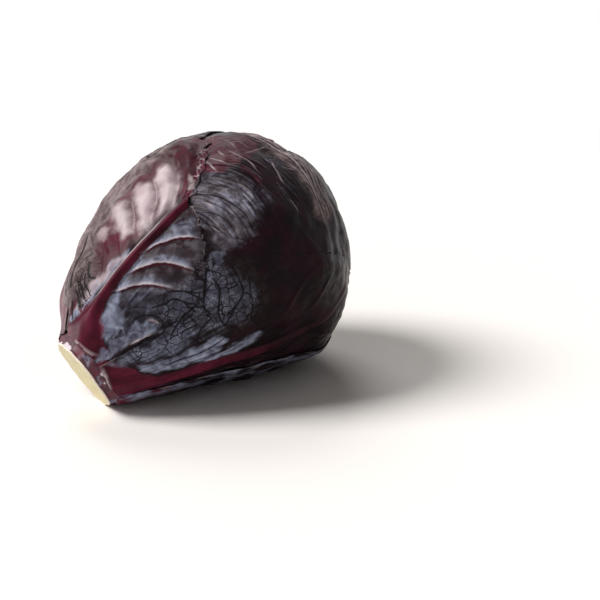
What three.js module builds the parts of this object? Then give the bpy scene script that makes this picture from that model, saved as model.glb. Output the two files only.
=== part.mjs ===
// A red cabbage lying on its side: a cut stem, eight loose wrapper leaves, the folded head leaves inside them
// and the heart bud on top of the core. Millimetres, +Z up. The head's axis lies in the XZ plane and climbs
// towards +X, the cut end of the stem is low at -X, and the underside of the head rests on z = 0.
//
// Places on the head are given as seen from its centre: "polar" is the angle from the stem end of the axis,
// "around" is the angle about the axis, 0 on top, 90 at -Y and 180 on the side that the head rests on.
import * as THREE from 'three';
import { mergeVertices } from 'three/addons/utils/BufferGeometryUtils.js';

// Driving dimensions, in millimetres and degrees.
const CENTRE_HEIGHT = 100; // of the head's centre above the stem's cut, along the axis
const REST_TILT = 24.5; // of the axis above the floor
const STEM_RADIUS = 21; // at the cut
const PRESS_DEPTH = 2.2; // how much of the outline lies below the floor and is pressed flat
const HEAD_OUTLINE = [ // height above the cut, radius
  [0, STEM_RADIUS], [10, 28], [20, 37], [40, 50.5], [60, 60.5], [80, 67.5], [100, 71.8],
  [112, 72.5], [128, 69], [148, 56.5], [163, 40.5], [174, 21], [180, 0],
];
const UNDERSIDE_TANGENT = Math.tan(THREE.MathUtils.degToRad(REST_TILT));
const UNDERSIDE_OUTLINE = [0, 30, 60, 95].map((height) => [height, STEM_RADIUS + height * UNDERSIDE_TANGENT])
  .concat([[112, 71], [128, 69], [148, 56.5], [163, 40.5], [174, 21], [180, 0]]);
const UNDERSIDE_HALF_ANGLE = 40; // around the axis, where the underside is straight all the way
const UNDERSIDE_FADE_ANGLE = 95; // where it has become the round outline

const LEAF_THICKNESS = 1.4;
const MARGIN_THICKNESS = 0.9;
const MARGIN_WIDTH = 9; // over which a leaf thins towards its margin
const LEAF_GAP = 1.7; // between a leaf and what it lies on
const INNER_LEAF_THICKNESS = 2.2;
const FOOT_THICKNESS = 1.3; // more than the leaf's own, where it leaves the stem
const FOOT_ANGLE = 16; // from the stem, over which the foot thins to the blade
const LEAF_REACH = 75; // typical distance of a wrapper leaf from the head's centre
const FLAT_ALLOWANCE = 0.4; // left below the floor before it is cut flat
const SPREAD_ANGLE = 95; // polar angle of the point about which a leaf is laid out flat

// Half width and height of a wrapper's midrib, by polar angle.
const RIB_HALF_WIDTH = [[15, 9.5], [22, 7.2], [33, 5.2], [55, 3.6], [80, 2.8], [110, 2.2], [150, 1.6]];
const RIB_HEIGHT = [[15, 3.0], [22, 3.4], [40, 3.2], [65, 2.5], [95, 1.5], [130, 0.8], [170, 0.5]];
const RIB_SPREAD = 1.7; // half widths over which a midrib falls to the blade

// Radius and height of the cut face and the ring of leaf scars, then of the core up to its tip.
const SCAR_RING_OUTLINE = [
  [0, 0], [STEM_RADIUS - 0.8, 0], [STEM_RADIUS + 0.4, 1], [23, 4], [25, 7.6], [24.3, 9.4], [20.6, 11],
];
const CORE_OUTLINE = [[19.4, 16], [19, 40], [16.8, 54], [12.4, 68], [7, 78], [2.4, 84.5], [0, 86]];
const STEM_SIDES = 28;
const STEM_WAVES = [[0.03, 3, 0.6], [0.02, 5, 2.1]]; // share of the radius, waves around, phase
const STEM_SHRINK = 0.02; // of the cut end, so that its waves stay within the outline
const UNEVEN_HEIGHT = 5; // above the cut, up to which the waves are full
const EVEN_HEIGHT = 12; // where the stem is round
const BUD_SCALE = 0.125; // of the space inside the wrappers
const BUD_FOLD = 0.05; // depth of its three folds, as a share of its radius
const BUD_SIDES = 14;
const BUD_RINGS = 10;
const INNER_LEAF_COUNT = 10;
const INNER_FIRST_SCALE = 0.24;
const INNER_LAST_SCALE = 0.95;
const INNER_FIRST_HEADING = 200;
const INNER_TURN = 137.5; // from one leaf to the next around the stem
const INNER_LEAST_BASE = 19.5;
const INNER_WIDTH = 96;
const INNER_REACH = 94;
const CORE_CLEARANCE = 1.2;
const STEEPEST_CORE_ANGLE = 14; // polar angle inside which every ray from the centre runs down the core
const BASE_STEP = 0.5; // degrees in the search for an inner leaf's foot

// Wrapper leaves from the innermost to the outermost. heading is where the midrib leaves the stem, around the
// axis, and bend lists how far the midrib strays from a straight line, by polar angle. A leaf has either an
// outline of its own, as [polar, around] points, or the half width and the reach of a round one.
const WRAPPERS = [
  { name: 'wrapper_leaf_1', heading: 270, base: 18.8, width: 88, reach: 104, rib: 0.7, phase: 0.4 },
  { name: 'wrapper_leaf_2', heading: 133, base: 18.2, width: 90, reach: 90, rib: 0.6, phase: 1.9, lift: 1.1 },
  {
    name: 'wrapper_leaf_3', heading: 6, base: 17.6, rib: 0.9, baseArc: [42, -34],
    outline: [
      [30, 58], [50, 82], [75, 92], [100, 92], [118, 82], [128, 64], [132, 45], [137, 26], [139, 5], [137, -15],
      [131, -35], [118, -50], [100, -62], [75, -70], [50, -64], [30, -50],
    ],
  },
  { name: 'wrapper_leaf_4', heading: 218, base: 17, width: 86, reach: 68, rib: 0.6, phase: 4.4 },
  {
    name: 'wrapper_leaf_5', heading: 95, base: 16.4, rib: 1, baseArc: [128, 60],
    bend: [[15, -3], [30, -4.4], [45, -4.6], [65, -2.4], [85, 0]],
    outline: [
      [30, 138], [50, 158], [75, 165], [100, 160], [120, 148], [131, 128], [132, 108], [124, 92], [108, 78],
      [92, 68], [84, 56], [78, 45], [66, 36], [50, 32], [34, 38],
    ],
  },
  { name: 'wrapper_leaf_6', heading: 305, base: 16.4, width: 84, reach: 52, rib: 1, phase: 0.9 },
  {
    name: 'wrapper_leaf_7', heading: 170, base: 15.9, rib: 0.35, lift: 0.5, baseArc: [202, 116],
    outline: [
      [30, 222], [50, 240], [75, 246], [98, 240], [116, 226], [126, 206], [129, 186], [126, 165], [118, 148],
      [104, 136], [86, 128], [66, 122], [46, 116], [30, 112],
    ],
  },
  {
    name: 'wrapper_leaf_8', heading: 28, base: 15.9, rib: 1.1, baseArc: [62, -4],
    bend: [[15, 3.6], [33, 3], [45, 2.2], [55, 1], [65, -0.8], [80, -2.5], [100, -4]],
    outline: [
      [30, 62.5], [45, 64], [54, 63.5], [59, 60], [63, 54.5], [66.5, 50], [70.5, 44], [75, 36], [77.5, 30],
      [79.5, 25.5], [86, 23], [93.5, 17.5], [102, 10.5], [110, -1], [105, -10], [97, -17], [87, -27], [77, -34],
      [65, -38], [52, -40], [40, -42], [30, -38], [22, -21],
    ],
  },
];
const ROUND_BASE_HALF_ARC = 38; // around the stem, of a round leaf's foot
const ROUND_LOBE_ANGLE = 150; // from the tip round to where the margin turns in to the foot
const ROUND_LOBE_DEPTH = 66; // how far a round leaf reaches back towards the stem
const ROUND_POINTS = 17;
const ROUND_WAVE = 0.035; // of the margin, as a share of its distance from the middle

const COVER_ANGLE = 6; // how far beyond a leaf's margin the next leaf starts to rise over it
const COVER_BLUR = 3;
const STACK_BLUR = 12; // over which the space inside follows the number of leaves on it
const PRESS_COVER_ANGLE = 4;
const PRESS_BLUR = 2.5;
const BLUR_REACH = 2.5; // in spreads
const NEAR_AXIS = 0.02; // least sine of the polar angle used for spreads around the axis

const MARGIN_DIVISIONS = 400;
const MIDDLE_CROWDING = 1.15; // 1 spaces the columns evenly, more crowds them at the midrib
const WRAPPER_ROWS = 10; // of faces, from a leaf's foot to its margin
const WRAPPER_COLUMNS = 26; // of faces, from one side of a leaf to the other
const INNER_ROWS = 7;
const INNER_COLUMNS = 14;
const WELD_DISTANCE = 1e-4;
const OUTLINE_STEP = 2; // degrees between the points of the table that holds the layers
const POLAR_COUNT = 180 / OUTLINE_STEP + 1;
const AROUND_COUNT = 360 / OUTLINE_STEP;

const radians = THREE.MathUtils.degToRad;
const degrees = THREE.MathUtils.radToDeg;

// A smooth curve through [x, y] points, level beyond its ends.
function curveThrough(points) {
  const last = points.length - 1;
  const slope = (i) => {
    const a = points[Math.max(i - 1, 0)];
    const b = points[Math.min(i + 1, last)];
    return (b[1] - a[1]) / (b[0] - a[0]);
  };
  const slopes = points.map((_, i) => slope(i));
  return (x) => {
    if (x <= points[0][0]) return points[0][1];
    if (x >= points[last][0]) return points[last][1];
    const i = points.findIndex((p) => p[0] > x) - 1;
    const span = points[i + 1][0] - points[i][0];
    const t = (x - points[i][0]) / span;
    const rise = points[i + 1][1] - points[i][1];
    const a = slopes[i] * span - rise;
    const b = -slopes[i + 1] * span + rise;
    return (1 - t) * points[i][1] + t * points[i + 1][1] + t * (1 - t) * (a * (1 - t) + b * t);
  };
}

function smoothstep(value, low, high) {
  return THREE.MathUtils.smoothstep(value, low, high);
}

// The head's outline as its distance from the centre, by polar angle.
function fromCentre(outline) {
  return curveThrough(outline.map(([height, radius]) => [
    degrees(Math.atan2(radius, CENTRE_HEIGHT - height)), Math.hypot(radius, CENTRE_HEIGHT - height)]));
}

const crownReach = fromCentre(HEAD_OUTLINE);
const undersideReach = fromCentre(UNDERSIDE_OUTLINE);

function headReach(polar, around) {
  const fromUnderside = Math.abs(THREE.MathUtils.euclideanModulo(around, 360) - 180);
  const underside = 1 - smoothstep(fromUnderside, UNDERSIDE_HALF_ANGLE, UNDERSIDE_FADE_ANGLE);
  return THREE.MathUtils.lerp(crownReach(polar), undersideReach(polar), underside);
}

function direction(polar, around) {
  const p = radians(polar);
  const a = radians(around);
  return new THREE.Vector3(Math.sin(p) * Math.cos(a), Math.sin(p) * Math.sin(a), -Math.cos(p));
}

// A table of heights over the head, by polar angle and angle around the axis.
class Layer {
  constructor(heightAt) {
    this.rows = Array.from({ length: POLAR_COUNT }, (_, i) => Float64Array.from({ length: AROUND_COUNT },
      (_, j) => heightAt(i * OUTLINE_STEP, j * OUTLINE_STEP, i, j)));
  }

  at(polar, around) {
    const x = THREE.MathUtils.clamp(polar / OUTLINE_STEP, 0, POLAR_COUNT - 1.001);
    const y = THREE.MathUtils.euclideanModulo(around / OUTLINE_STEP, AROUND_COUNT);
    const i = Math.floor(x);
    const j = Math.floor(y) % AROUND_COUNT;
    const k = (j + 1) % AROUND_COUNT;
    const low = THREE.MathUtils.lerp(this.rows[i][j], this.rows[i][k], y - Math.floor(y));
    const high = THREE.MathUtils.lerp(this.rows[i + 1][j], this.rows[i + 1][k], y - Math.floor(y));
    return THREE.MathUtils.lerp(low, high, x - i);
  }

  // The highest of what lies within reach degrees.
  widened(reach) {
    const steps = Math.round(reach / OUTLINE_STEP);
    const around = new Layer((polar, _, i, j) => {
      const even = steps / Math.max(Math.sin(radians(polar)), NEAR_AXIS);
      const wide = Math.min(Math.round(even), AROUND_COUNT / 2);
      let highest = 0;
      for (let k = -wide; k <= wide; k += 1) {
        highest = Math.max(highest, this.rows[i][(j + k + AROUND_COUNT) % AROUND_COUNT]);
      }
      return highest;
    });
    return new Layer((polar, _, i, j) => {
      let highest = 0;
      for (let k = -steps; k <= steps; k += 1) {
        highest = Math.max(highest, around.rows[THREE.MathUtils.clamp(i + k, 0, POLAR_COUNT - 1)][j]);
      }
      return highest;
    });
  }

  // Smoothed over spread degrees each way, across the ends of the axis too.
  blurred(spread) {
    const half = AROUND_COUNT / 2;
    const around = new Layer((polar, _, i, j) => {
      const wide = spread / Math.max(Math.sin(radians(polar)), NEAR_AXIS) / OUTLINE_STEP;
      const reach = Math.min(Math.ceil(wide * BLUR_REACH), half);
      let sum = 0;
      let weights = 0;
      for (let k = -reach; k <= reach; k += 1) {
        const weight = Math.exp(-((k / wide) ** 2) / 2);
        sum += weight * this.rows[i][(j + k + AROUND_COUNT) % AROUND_COUNT];
        weights += weight;
      }
      return sum / weights;
    });
    const wide = spread / OUTLINE_STEP;
    const reach = Math.ceil(wide * BLUR_REACH);
    return new Layer((polar, _, i, j) => {
      let sum = 0;
      let weights = 0;
      for (let k = -reach; k <= reach; k += 1) {
        const row = Math.abs(i + k);
        const past = row > POLAR_COUNT - 1;
        const crossed = past || i + k < 0;
        const weight = Math.exp(-((k / wide) ** 2) / 2);
        const column = crossed ? (j + half) % AROUND_COUNT : j;
        sum += weight * around.rows[past ? 2 * (POLAR_COUNT - 1) - row : row][column];
        weights += weight;
      }
      return sum / weights;
    });
  }
}

// A leaf laid out flat about a point on its midrib: u runs along the midrib, v to its left, in degrees.
class LeafPlan {
  constructor(leaf) {
    this.leaf = leaf;
    this.centre = direction(SPREAD_ANGLE, leaf.heading);
    this.forward = direction(SPREAD_ANGLE + 90, leaf.heading);
    this.side = direction(90, leaf.heading + 90);
    const arc = leaf.baseArc ?? [leaf.heading + ROUND_BASE_HALF_ARC, leaf.heading - ROUND_BASE_HALF_ARC];
    const margin = leaf.outline?.map(([polar, around]) => this.flat(polar, around)) ?? this.roundMargin();
    const corner = arc.map((around) => this.flat(leaf.base, around));
    const spline = new THREE.SplineCurve([corner[0], ...margin, corner[1]]);
    spline.arcLengthDivisions = MARGIN_DIVISIONS;
    this.arc = arc;
    this.bendAt = curveThrough(leaf.bend ?? [[0, 0], [180, 0]]);
    this.shares = Array.from({ length: leaf.columns + 1 }, (_, j) => {
      const side = (2 * j) / leaf.columns - 1;
      return 0.5 + 0.5 * Math.sign(side) * Math.abs(side) ** MIDDLE_CROWDING;
    });
    this.margin = this.shares.map((share) => spline.getPointAt(share));
    this.polygon = [...this.margin];
    for (let j = leaf.columns - 1; j > 0; j -= 1) this.polygon.push(this.foot(this.shares[j]));
  }

  roundMargin() {
    const { width, reach, phase } = this.leaf;
    return Array.from({ length: ROUND_POINTS }, (_, i) => {
      const turn = radians(ROUND_LOBE_ANGLE * (1 - (2 * i) / (ROUND_POINTS - 1)));
      const wave = 1 + ROUND_WAVE * Math.sin(5 * turn + phase);
      const along = Math.cos(turn) > 0 ? reach : ROUND_LOBE_DEPTH;
      return new THREE.Vector2(along * Math.cos(turn) * wave, width * Math.sin(turn) * wave);
    });
  }

  // share runs from 0 at the first corner of the foot to 1 at the last.
  foot(share) {
    return this.flat(this.leaf.base, THREE.MathUtils.lerp(this.arc[0], this.arc[1], share));
  }

  flat(polar, around) {
    const towards = direction(polar, around);
    const away = Math.acos(THREE.MathUtils.clamp(towards.dot(this.centre), -1, 1));
    const stretch = degrees(away) / Math.max(Math.sin(away), 1e-6);
    return new THREE.Vector2(towards.dot(this.forward) * stretch, towards.dot(this.side) * stretch);
  }

  // The direction from the head's centre of a point of the flat leaf.
  towards(point) {
    const away = radians(point.length());
    const share = away > 0 ? Math.sin(away) / point.length() : 0;
    return this.centre.clone().multiplyScalar(Math.cos(away))
      .addScaledVector(this.forward, point.x * share).addScaledVector(this.side, point.y * share);
  }

  // Distance in from the margin, in degrees: negative outside the leaf.
  inset(point) {
    let nearest = Infinity;
    let inside = false;
    const count = this.polygon.length;
    for (let i = 0; i < count; i += 1) {
      const a = this.polygon[i];
      const b = this.polygon[(i + 1) % count];
      const along = b.clone().sub(a);
      const t = THREE.MathUtils.clamp(point.clone().sub(a).dot(along) / along.lengthSq(), 0, 1);
      const away = point.distanceTo(a.clone().addScaledVector(along, t));
      if (i < this.leaf.columns) nearest = Math.min(nearest, away);
      const crosses = (a.y > point.y) !== (b.y > point.y);
      if (crosses && point.x < ((b.x - a.x) * (point.y - a.y)) / (b.y - a.y) + a.x) inside = !inside;
    }
    return inside ? nearest : -nearest;
  }

  // How much the midrib adds to the leaf's thickness.
  ribHeight(towards) {
    const across = degrees(Math.asin(THREE.MathUtils.clamp(towards.dot(this.side), -1, 1)));
    const up = towards.dot(direction(90, this.leaf.heading));
    const polar = degrees(Math.atan2(up, -towards.z));
    if (polar < 0) return 0;
    const offset = Math.abs(radians(across - this.bendAt(polar)) * LEAF_REACH);
    const height = curveThrough(RIB_HEIGHT)(polar) * this.leaf.rib;
    return height * (1 - smoothstep(offset, 0, RIB_SPREAD * curveThrough(RIB_HALF_WIDTH)(polar)));
  }
}

// One closed shell between two grids of points that share their edges' order.
function shell(outer, inner) {
  const rows = outer.length;
  const columns = outer[0].length;
  const positions = [...outer.flat(), ...inner.flat()].flatMap((p) => [p.x, p.y, p.z]);
  const indices = [];
  const under = rows * columns;
  const quad = (a, b, c, d) => indices.push(a, b, c, a, c, d);
  for (let i = 0; i < rows - 1; i += 1) {
    for (let j = 0; j < columns - 1; j += 1) {
      const a = i * columns + j;
      quad(a, a + 1, a + columns + 1, a + columns);
      quad(under + a, under + a + columns, under + a + columns + 1, under + a + 1);
    }
  }
  const wall = (a, b) => quad(b, a, under + a, under + b);
  for (let j = 0; j < columns - 1; j += 1) {
    wall(j, j + 1);
    wall((rows - 1) * columns + j + 1, (rows - 1) * columns + j);
  }
  for (let i = 0; i < rows - 1; i += 1) {
    wall((i + 1) * columns, i * columns);
    wall(i * columns + columns - 1, (i + 1) * columns + columns - 1);
  }
  return facesOut(positions, indices);
}

function facesOut(positions, indices) {
  const corner = (i) => new THREE.Vector3().fromArray(positions, indices[i] * 3);
  let volume = 0;
  for (let i = 0; i < indices.length; i += 3) volume += corner(i).dot(corner(i + 1).cross(corner(i + 2)));
  if (volume < 0) indices.reverse();
  const geometry = new THREE.BufferGeometry();
  geometry.setAttribute('position', new THREE.Float32BufferAttribute(positions, 3));
  geometry.setIndex(indices);
  return geometry;
}

const TILT = radians(REST_TILT);
const AXIS = new THREE.Vector3(Math.cos(TILT), 0, Math.sin(TILT));
const TOP_SIDE = new THREE.Vector3(-Math.sin(TILT), 0, Math.cos(TILT));
const STEM_END_RISE = STEM_RADIUS * Math.cos(TILT) - PRESS_DEPTH; // of the cut's middle above the floor
const CENTRE = AXIS.clone().multiplyScalar(CENTRE_HEIGHT).add(new THREE.Vector3(0, 0, STEM_END_RISE));

// From the head's own directions, along its axis and around it, to the part's.
function turned(local) {
  return new THREE.Vector3(0, -local.y, 0).addScaledVector(TOP_SIDE, local.x).addScaledVector(AXIS, local.z);
}

// Lays one leaf over the layers below it. Heights are above the space that the wrappers enclose.
function lay(leaf, below) {
  const plan = new LeafPlan({ columns: WRAPPER_COLUMNS, ...leaf });
  const slack = below.widened(COVER_ANGLE).blurred(COVER_BLUR);
  const taut = new Layer((polar, around, i, j) => Math.max(below.rows[i][j], slack.rows[i][j]));
  const innerHeight = (polar, around) => taut.at(polar, around) + LEAF_GAP + (leaf.lift ?? 0);
  const thickness = (point, towards, polar) => {
    const inset = radians(Math.max(plan.inset(point), 0)) * LEAF_REACH;
    const blade = THREE.MathUtils.lerp(MARGIN_THICKNESS, LEAF_THICKNESS, smoothstep(inset, 0, MARGIN_WIDTH));
    const foot = FOOT_THICKNESS * (1 - smoothstep(polar, leaf.base, leaf.base + FOOT_ANGLE));
    return blade + (plan.ribHeight(towards) + foot) * smoothstep(inset, 0, MARGIN_WIDTH / 2);
  };
  const top = new Layer((polar, around, i, j) => {
    if (polar < leaf.base) return below.rows[i][j];
    const point = plan.flat(polar, around);
    if (plan.inset(point) <= 0) return below.rows[i][j];
    return innerHeight(polar, around) + thickness(point, direction(polar, around), polar);
  });
  return { leaf, plan, innerHeight, thickness, top };
}

// The wrappers from the inside out, each over those before it.
const layers = [];
let stacked = new Layer(() => 0);
for (const leaf of WRAPPERS) {
  const laid = lay(leaf, stacked);
  layers.push(laid);
  stacked = laid.top;
}

// The space inside the wrappers is what the head's outline leaves for it.
const usualStack = stacked.blurred(STACK_BLUR);
const space = new Layer((polar, around, i, j) => headReach(polar, around) - usualStack.rows[i][j]);

// Where the head lies on the floor, every layer is pressed in by the same share.
const outermost = stacked.widened(PRESS_COVER_ANGLE).blurred(PRESS_BLUR);

function pressed(towards, reach) {
  const world = turned(towards);
  const polar = polarOf(towards);
  const around = aroundOf(towards);
  const outside = space.at(polar, around) + outermost.at(polar, around);
  const floor = world.z < 0 ? CENTRE.z / -world.z : Infinity;
  const share = Math.min(1, (floor + FLAT_ALLOWANCE) / outside);
  const point = CENTRE.clone().addScaledVector(world, reach * share);
  point.z = Math.max(point.z, 0);
  return point;
}

function polarOf(towards) {
  return degrees(Math.acos(THREE.MathUtils.clamp(-towards.z, -1, 1)));
}

function aroundOf(towards) {
  return degrees(Math.atan2(towards.y, towards.x));
}

// reachAt gives the leaf's inner face, as its distance from the head's centre.
function leafShell(plan, reachAt, thickness, rows) {
  const outer = [];
  const inner = [];
  for (let i = 0; i <= rows; i += 1) {
    const out = [];
    const within = [];
    for (let j = 0; j <= plan.leaf.columns; j += 1) {
      const point = plan.foot(plan.shares[j]).lerp(plan.margin[j], i / rows);
      const towards = plan.towards(point);
      const reach = reachAt(polarOf(towards), aroundOf(towards));
      out.push(pressed(towards, reach + thickness(point, towards, polarOf(towards))));
      within.push(pressed(towards, reach));
    }
    outer.push(out);
    inner.push(within);
  }
  return shell(outer, inner);
}

function wrapperGeometry({ plan, innerHeight, thickness }) {
  const reachAt = (polar, around) => space.at(polar, around) + innerHeight(polar, around);
  return leafShell(plan, reachAt, thickness, WRAPPER_ROWS);
}

// The radius of the core at a height above the cut.
const coreRadius = curveThrough(CORE_OUTLINE.map(([radius, height]) => [height, radius]));

// The least polar angle at which a shell of this scale clears the core.
function baseAngle(scale) {
  let polar = STEEPEST_CORE_ANGLE;
  const clears = () => {
    const reach = space.at(polar, 180) * scale;
    const height = CENTRE_HEIGHT - reach * Math.cos(radians(polar));
    return reach * Math.sin(radians(polar)) > coreRadius(height) + CORE_CLEARANCE;
  };
  while (!clears()) polar += BASE_STEP;
  return polar + 2 * BASE_STEP;
}

function innerLeafGeometry(index) {
  const share = index / (INNER_LEAF_COUNT - 1);
  const scale = THREE.MathUtils.lerp(INNER_FIRST_SCALE, INNER_LAST_SCALE, share);
  const plan = new LeafPlan({
    heading: (INNER_FIRST_HEADING + INNER_TURN * index) % 360,
    base: Math.max(baseAngle(scale), INNER_LEAST_BASE),
    width: INNER_WIDTH,
    reach: INNER_REACH,
    phase: index,
    columns: INNER_COLUMNS,
  });
  const reachAt = (polar, around) => space.at(polar, around) * scale - INNER_LEAF_THICKNESS;
  return leafShell(plan, reachAt, () => INNER_LEAF_THICKNESS, INNER_ROWS);
}

// Joins a turned body's seam and poles, so that it is one closed skin.
function welded(geometry) {
  geometry.deleteAttribute('normal');
  geometry.deleteAttribute('uv');
  return mergeVertices(geometry, WELD_DISTANCE);
}

function budGeometry() {
  const geometry = welded(new THREE.SphereGeometry(1, BUD_SIDES, BUD_RINGS).rotateX(Math.PI / 2));
  const place = geometry.getAttribute('position');
  for (let i = 0; i < place.count; i += 1) {
    const towards = new THREE.Vector3().fromBufferAttribute(place, i).normalize();
    const fold = 1 + BUD_FOLD * Math.sin(3 * Math.atan2(towards.y, towards.x));
    const reach = space.at(polarOf(towards), 90) * BUD_SCALE * fold;
    const point = pressed(towards, reach);
    place.setXYZ(i, point.x, point.y, point.z);
  }
  return geometry;
}

// The stem's cut end is a little uneven, where a knife took off the leaves around it.
function stemGeometry() {
  const outline = [...SCAR_RING_OUTLINE, ...CORE_OUTLINE].map((point) => new THREE.Vector2(...point));
  const geometry = welded(new THREE.LatheGeometry(outline, STEM_SIDES).rotateX(Math.PI / 2));
  const place = geometry.getAttribute('position');
  for (let i = 0; i < place.count; i += 1) {
    const local = new THREE.Vector3().fromBufferAttribute(place, i);
    const around = Math.atan2(local.y, local.x);
    let uneven = -STEM_SHRINK;
    for (const [share, count, phase] of STEM_WAVES) uneven += share * Math.sin(count * around + phase);
    const scale = 1 + uneven * (1 - smoothstep(local.z, UNEVEN_HEIGHT, EVEN_HEIGHT));
    local.set(local.x * scale, local.y * scale, local.z);
    const point = turned(local).add(new THREE.Vector3(0, 0, STEM_END_RISE));
    point.z = Math.max(point.z, 0);
    place.setXYZ(i, point.x, point.y, point.z);
  }
  return geometry;
}

const plain = (color, roughness) => new THREE.MeshStandardMaterial({ color, roughness, metalness: 0 });
const WRAPPER_COLOR = 0x3a1a2e;
const HEAD_LEAF_COLOR = 0x7d4a86;
const HEART_COLOR = 0xd9c8d6;
const STEM_COLOR = 0xe2dca6;
const LEAF_ROUGHNESS = 0.45;
const STEM_ROUGHNESS = 0.6;

const meshes = [];

function addMesh(name, geometry, material) {
  const mesh = new THREE.Mesh(geometry, material);
  mesh.name = name;
  meshes.push(mesh);
}

addMesh('stem', stemGeometry(), plain(STEM_COLOR, STEM_ROUGHNESS));
addMesh('heart_bud', budGeometry(), plain(HEART_COLOR, LEAF_ROUGHNESS));
for (let index = 0; index < INNER_LEAF_COUNT; index += 1) {
  addMesh(`head_leaf_${index + 1}`, innerLeafGeometry(index), plain(HEAD_LEAF_COLOR, LEAF_ROUGHNESS));
}
for (const laid of layers) addMesh(laid.leaf.name, wrapperGeometry(laid), plain(WRAPPER_COLOR, LEAF_ROUGHNESS));

// The part's origin is under the middle of its box, on the floor.
const box = new THREE.Box3();
for (const mesh of meshes) box.expandByObject(mesh, true);
const middle = box.getCenter(new THREE.Vector3());
for (const mesh of meshes) mesh.geometry.translate(-middle.x, -middle.y, 0);

const cabbage = new THREE.Group();
cabbage.add(...meshes);

export default cabbage;
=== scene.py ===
"""The looks of a red cabbage lying on its side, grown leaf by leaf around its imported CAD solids.

Places on the head are polar angles from the stem end of its axis and angles around the axis, 0 on top, 90
towards -Y and 180 underneath, both in degrees. Lengths are in millimetres until a piece gets its vertices.
"""

import math

import bpy
import numpy as np
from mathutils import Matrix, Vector


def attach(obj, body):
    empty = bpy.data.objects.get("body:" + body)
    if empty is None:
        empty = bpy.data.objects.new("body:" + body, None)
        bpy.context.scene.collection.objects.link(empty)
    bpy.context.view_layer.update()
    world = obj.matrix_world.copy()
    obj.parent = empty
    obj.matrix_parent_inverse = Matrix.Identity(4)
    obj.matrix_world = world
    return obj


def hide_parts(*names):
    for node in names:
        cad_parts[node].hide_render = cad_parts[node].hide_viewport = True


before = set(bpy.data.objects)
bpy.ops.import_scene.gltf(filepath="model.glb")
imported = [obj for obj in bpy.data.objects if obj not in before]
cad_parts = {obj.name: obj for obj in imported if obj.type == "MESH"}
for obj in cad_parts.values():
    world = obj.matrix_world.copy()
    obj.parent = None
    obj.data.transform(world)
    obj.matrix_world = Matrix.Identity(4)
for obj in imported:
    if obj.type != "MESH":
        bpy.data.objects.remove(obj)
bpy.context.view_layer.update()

MM = 0.001
REST_TILT = math.radians(24.5)  # of the head's axis above the floor
AXIS = np.array([math.cos(REST_TILT), 0, math.sin(REST_TILT)])
TOP_SIDE = np.array([-math.sin(REST_TILT), 0, math.cos(REST_TILT)])
CENTRE_HEIGHT = 100.0  # of the head's centre above the stem's cut
CORE_TIP_HEIGHT = 86.0

# Height above the cut and radius of the whole head, and of its straight underside.
HEAD_OUTLINE = [
    (0, 21), (10, 28), (20, 37), (40, 50.5), (60, 60.5), (80, 67.5), (100, 71.8),
    (112, 72.5), (128, 69), (148, 56.5), (163, 40.5), (174, 21), (180, 0),
]
UNDERSIDE_OUTLINE = [(height, 21 + height * math.tan(REST_TILT)) for height in (0, 30, 60, 95)] + [
    (112, 71), (128, 69), (148, 56.5), (163, 40.5), (174, 21), (180, 0),
]
# Around the head, how far from straight down the underside's outline holds, and where it has given way.
UNDERSIDE_HALF_ANGLE = 40.0
UNDERSIDE_FADE_ANGLE = 95.0

CUT_NEAR_SIDE = 53.0  # around the head, where the slanted cut is furthest out
NECK_DEPTH = 6.5  # by which the leaves' feet stand further in on the opposite side
NECK_FADE = (13, 32)  # polar angles between which the neck gives way to the head's outline
LAYERED_RISE = 2.6  # by which the leaves' edges stand out at the head's far end
LAYERED_SIDE = 18.0  # around the head, where they stand out most
LAYERED_START = (112, 134)
LAYERED_END = (150, 172)

LEAF_THICKNESS = 0.48
LEAF_GAP = 0.16
PRESSED_WIDTH = 7.0  # of a leaf's margin that lies close on the leaf below
FLAT_ALLOWANCE = 0.4  # by which leaves on the floor may reach further than the floor, before they are flat
LEAST_HEIGHT = 0.02  # of any vertex above the floor
LEAF_REACH = 75.0  # typical distance of a wrapper from the head's centre
MM_PER_DEGREE = math.radians(LEAF_REACH)
SPREAD_ANGLE = 95.0  # polar angle of the point about which a leaf is laid out flat

# In degrees: how far a leaf bridges the steps below it, and how its bridges and the stack below are smoothed.
COVER_ANGLE = 3
COVER_BLUR = 1.4
BED_BLUR = 0.7
STACK_BLUR = 12.0

# A leaf without an outline of its own: half the width of its foot, and the turn and depth of its round lobe.
ROUND_BASE_HALF_ARC = 38.0
ROUND_LOBE_ANGLE = 150.0
ROUND_LOBE_DEPTH = 66.0

# Degrees between vertices: on the front leaf, on the two beside it, on the others, and away from a leaf's
# finely modelled stretch.
FRONT_SPACING = 0.42
SHOWN_SPACING = 0.45
SIDE_SPACING = 0.8
COARSE_SPACING = 1.2
THINNEST_LINE = 0.75  # half width of a painted line, as a share of the spacing

# The numbers of the leaves that are told apart: the one at the front with the thick rib, the one that shows
# above it, the low one with the broad rib and the one that the head lies on.
FRONT_LEAF = 8
UPPER_LEAF = 3
LOW_LEAF = 5
FLOOR_LEAF = 7


# Where the front leaf's far end is torn off, and the part of that margin that is crumpled.
TORN_MARGIN = [
    (114, 1), (109, 5), (103.5, 8.5), (99, 11.5), (95, 15.5), (90.5, 18.5), (86, 20), (81.5, 23), (79, 26),
    (77.5, 31), (74, 37), (70.5, 43.5), (67, 48), (63.5, 53), (60, 57),
]
CRUMPLED_MARGIN = TORN_MARGIN[:8]

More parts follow.
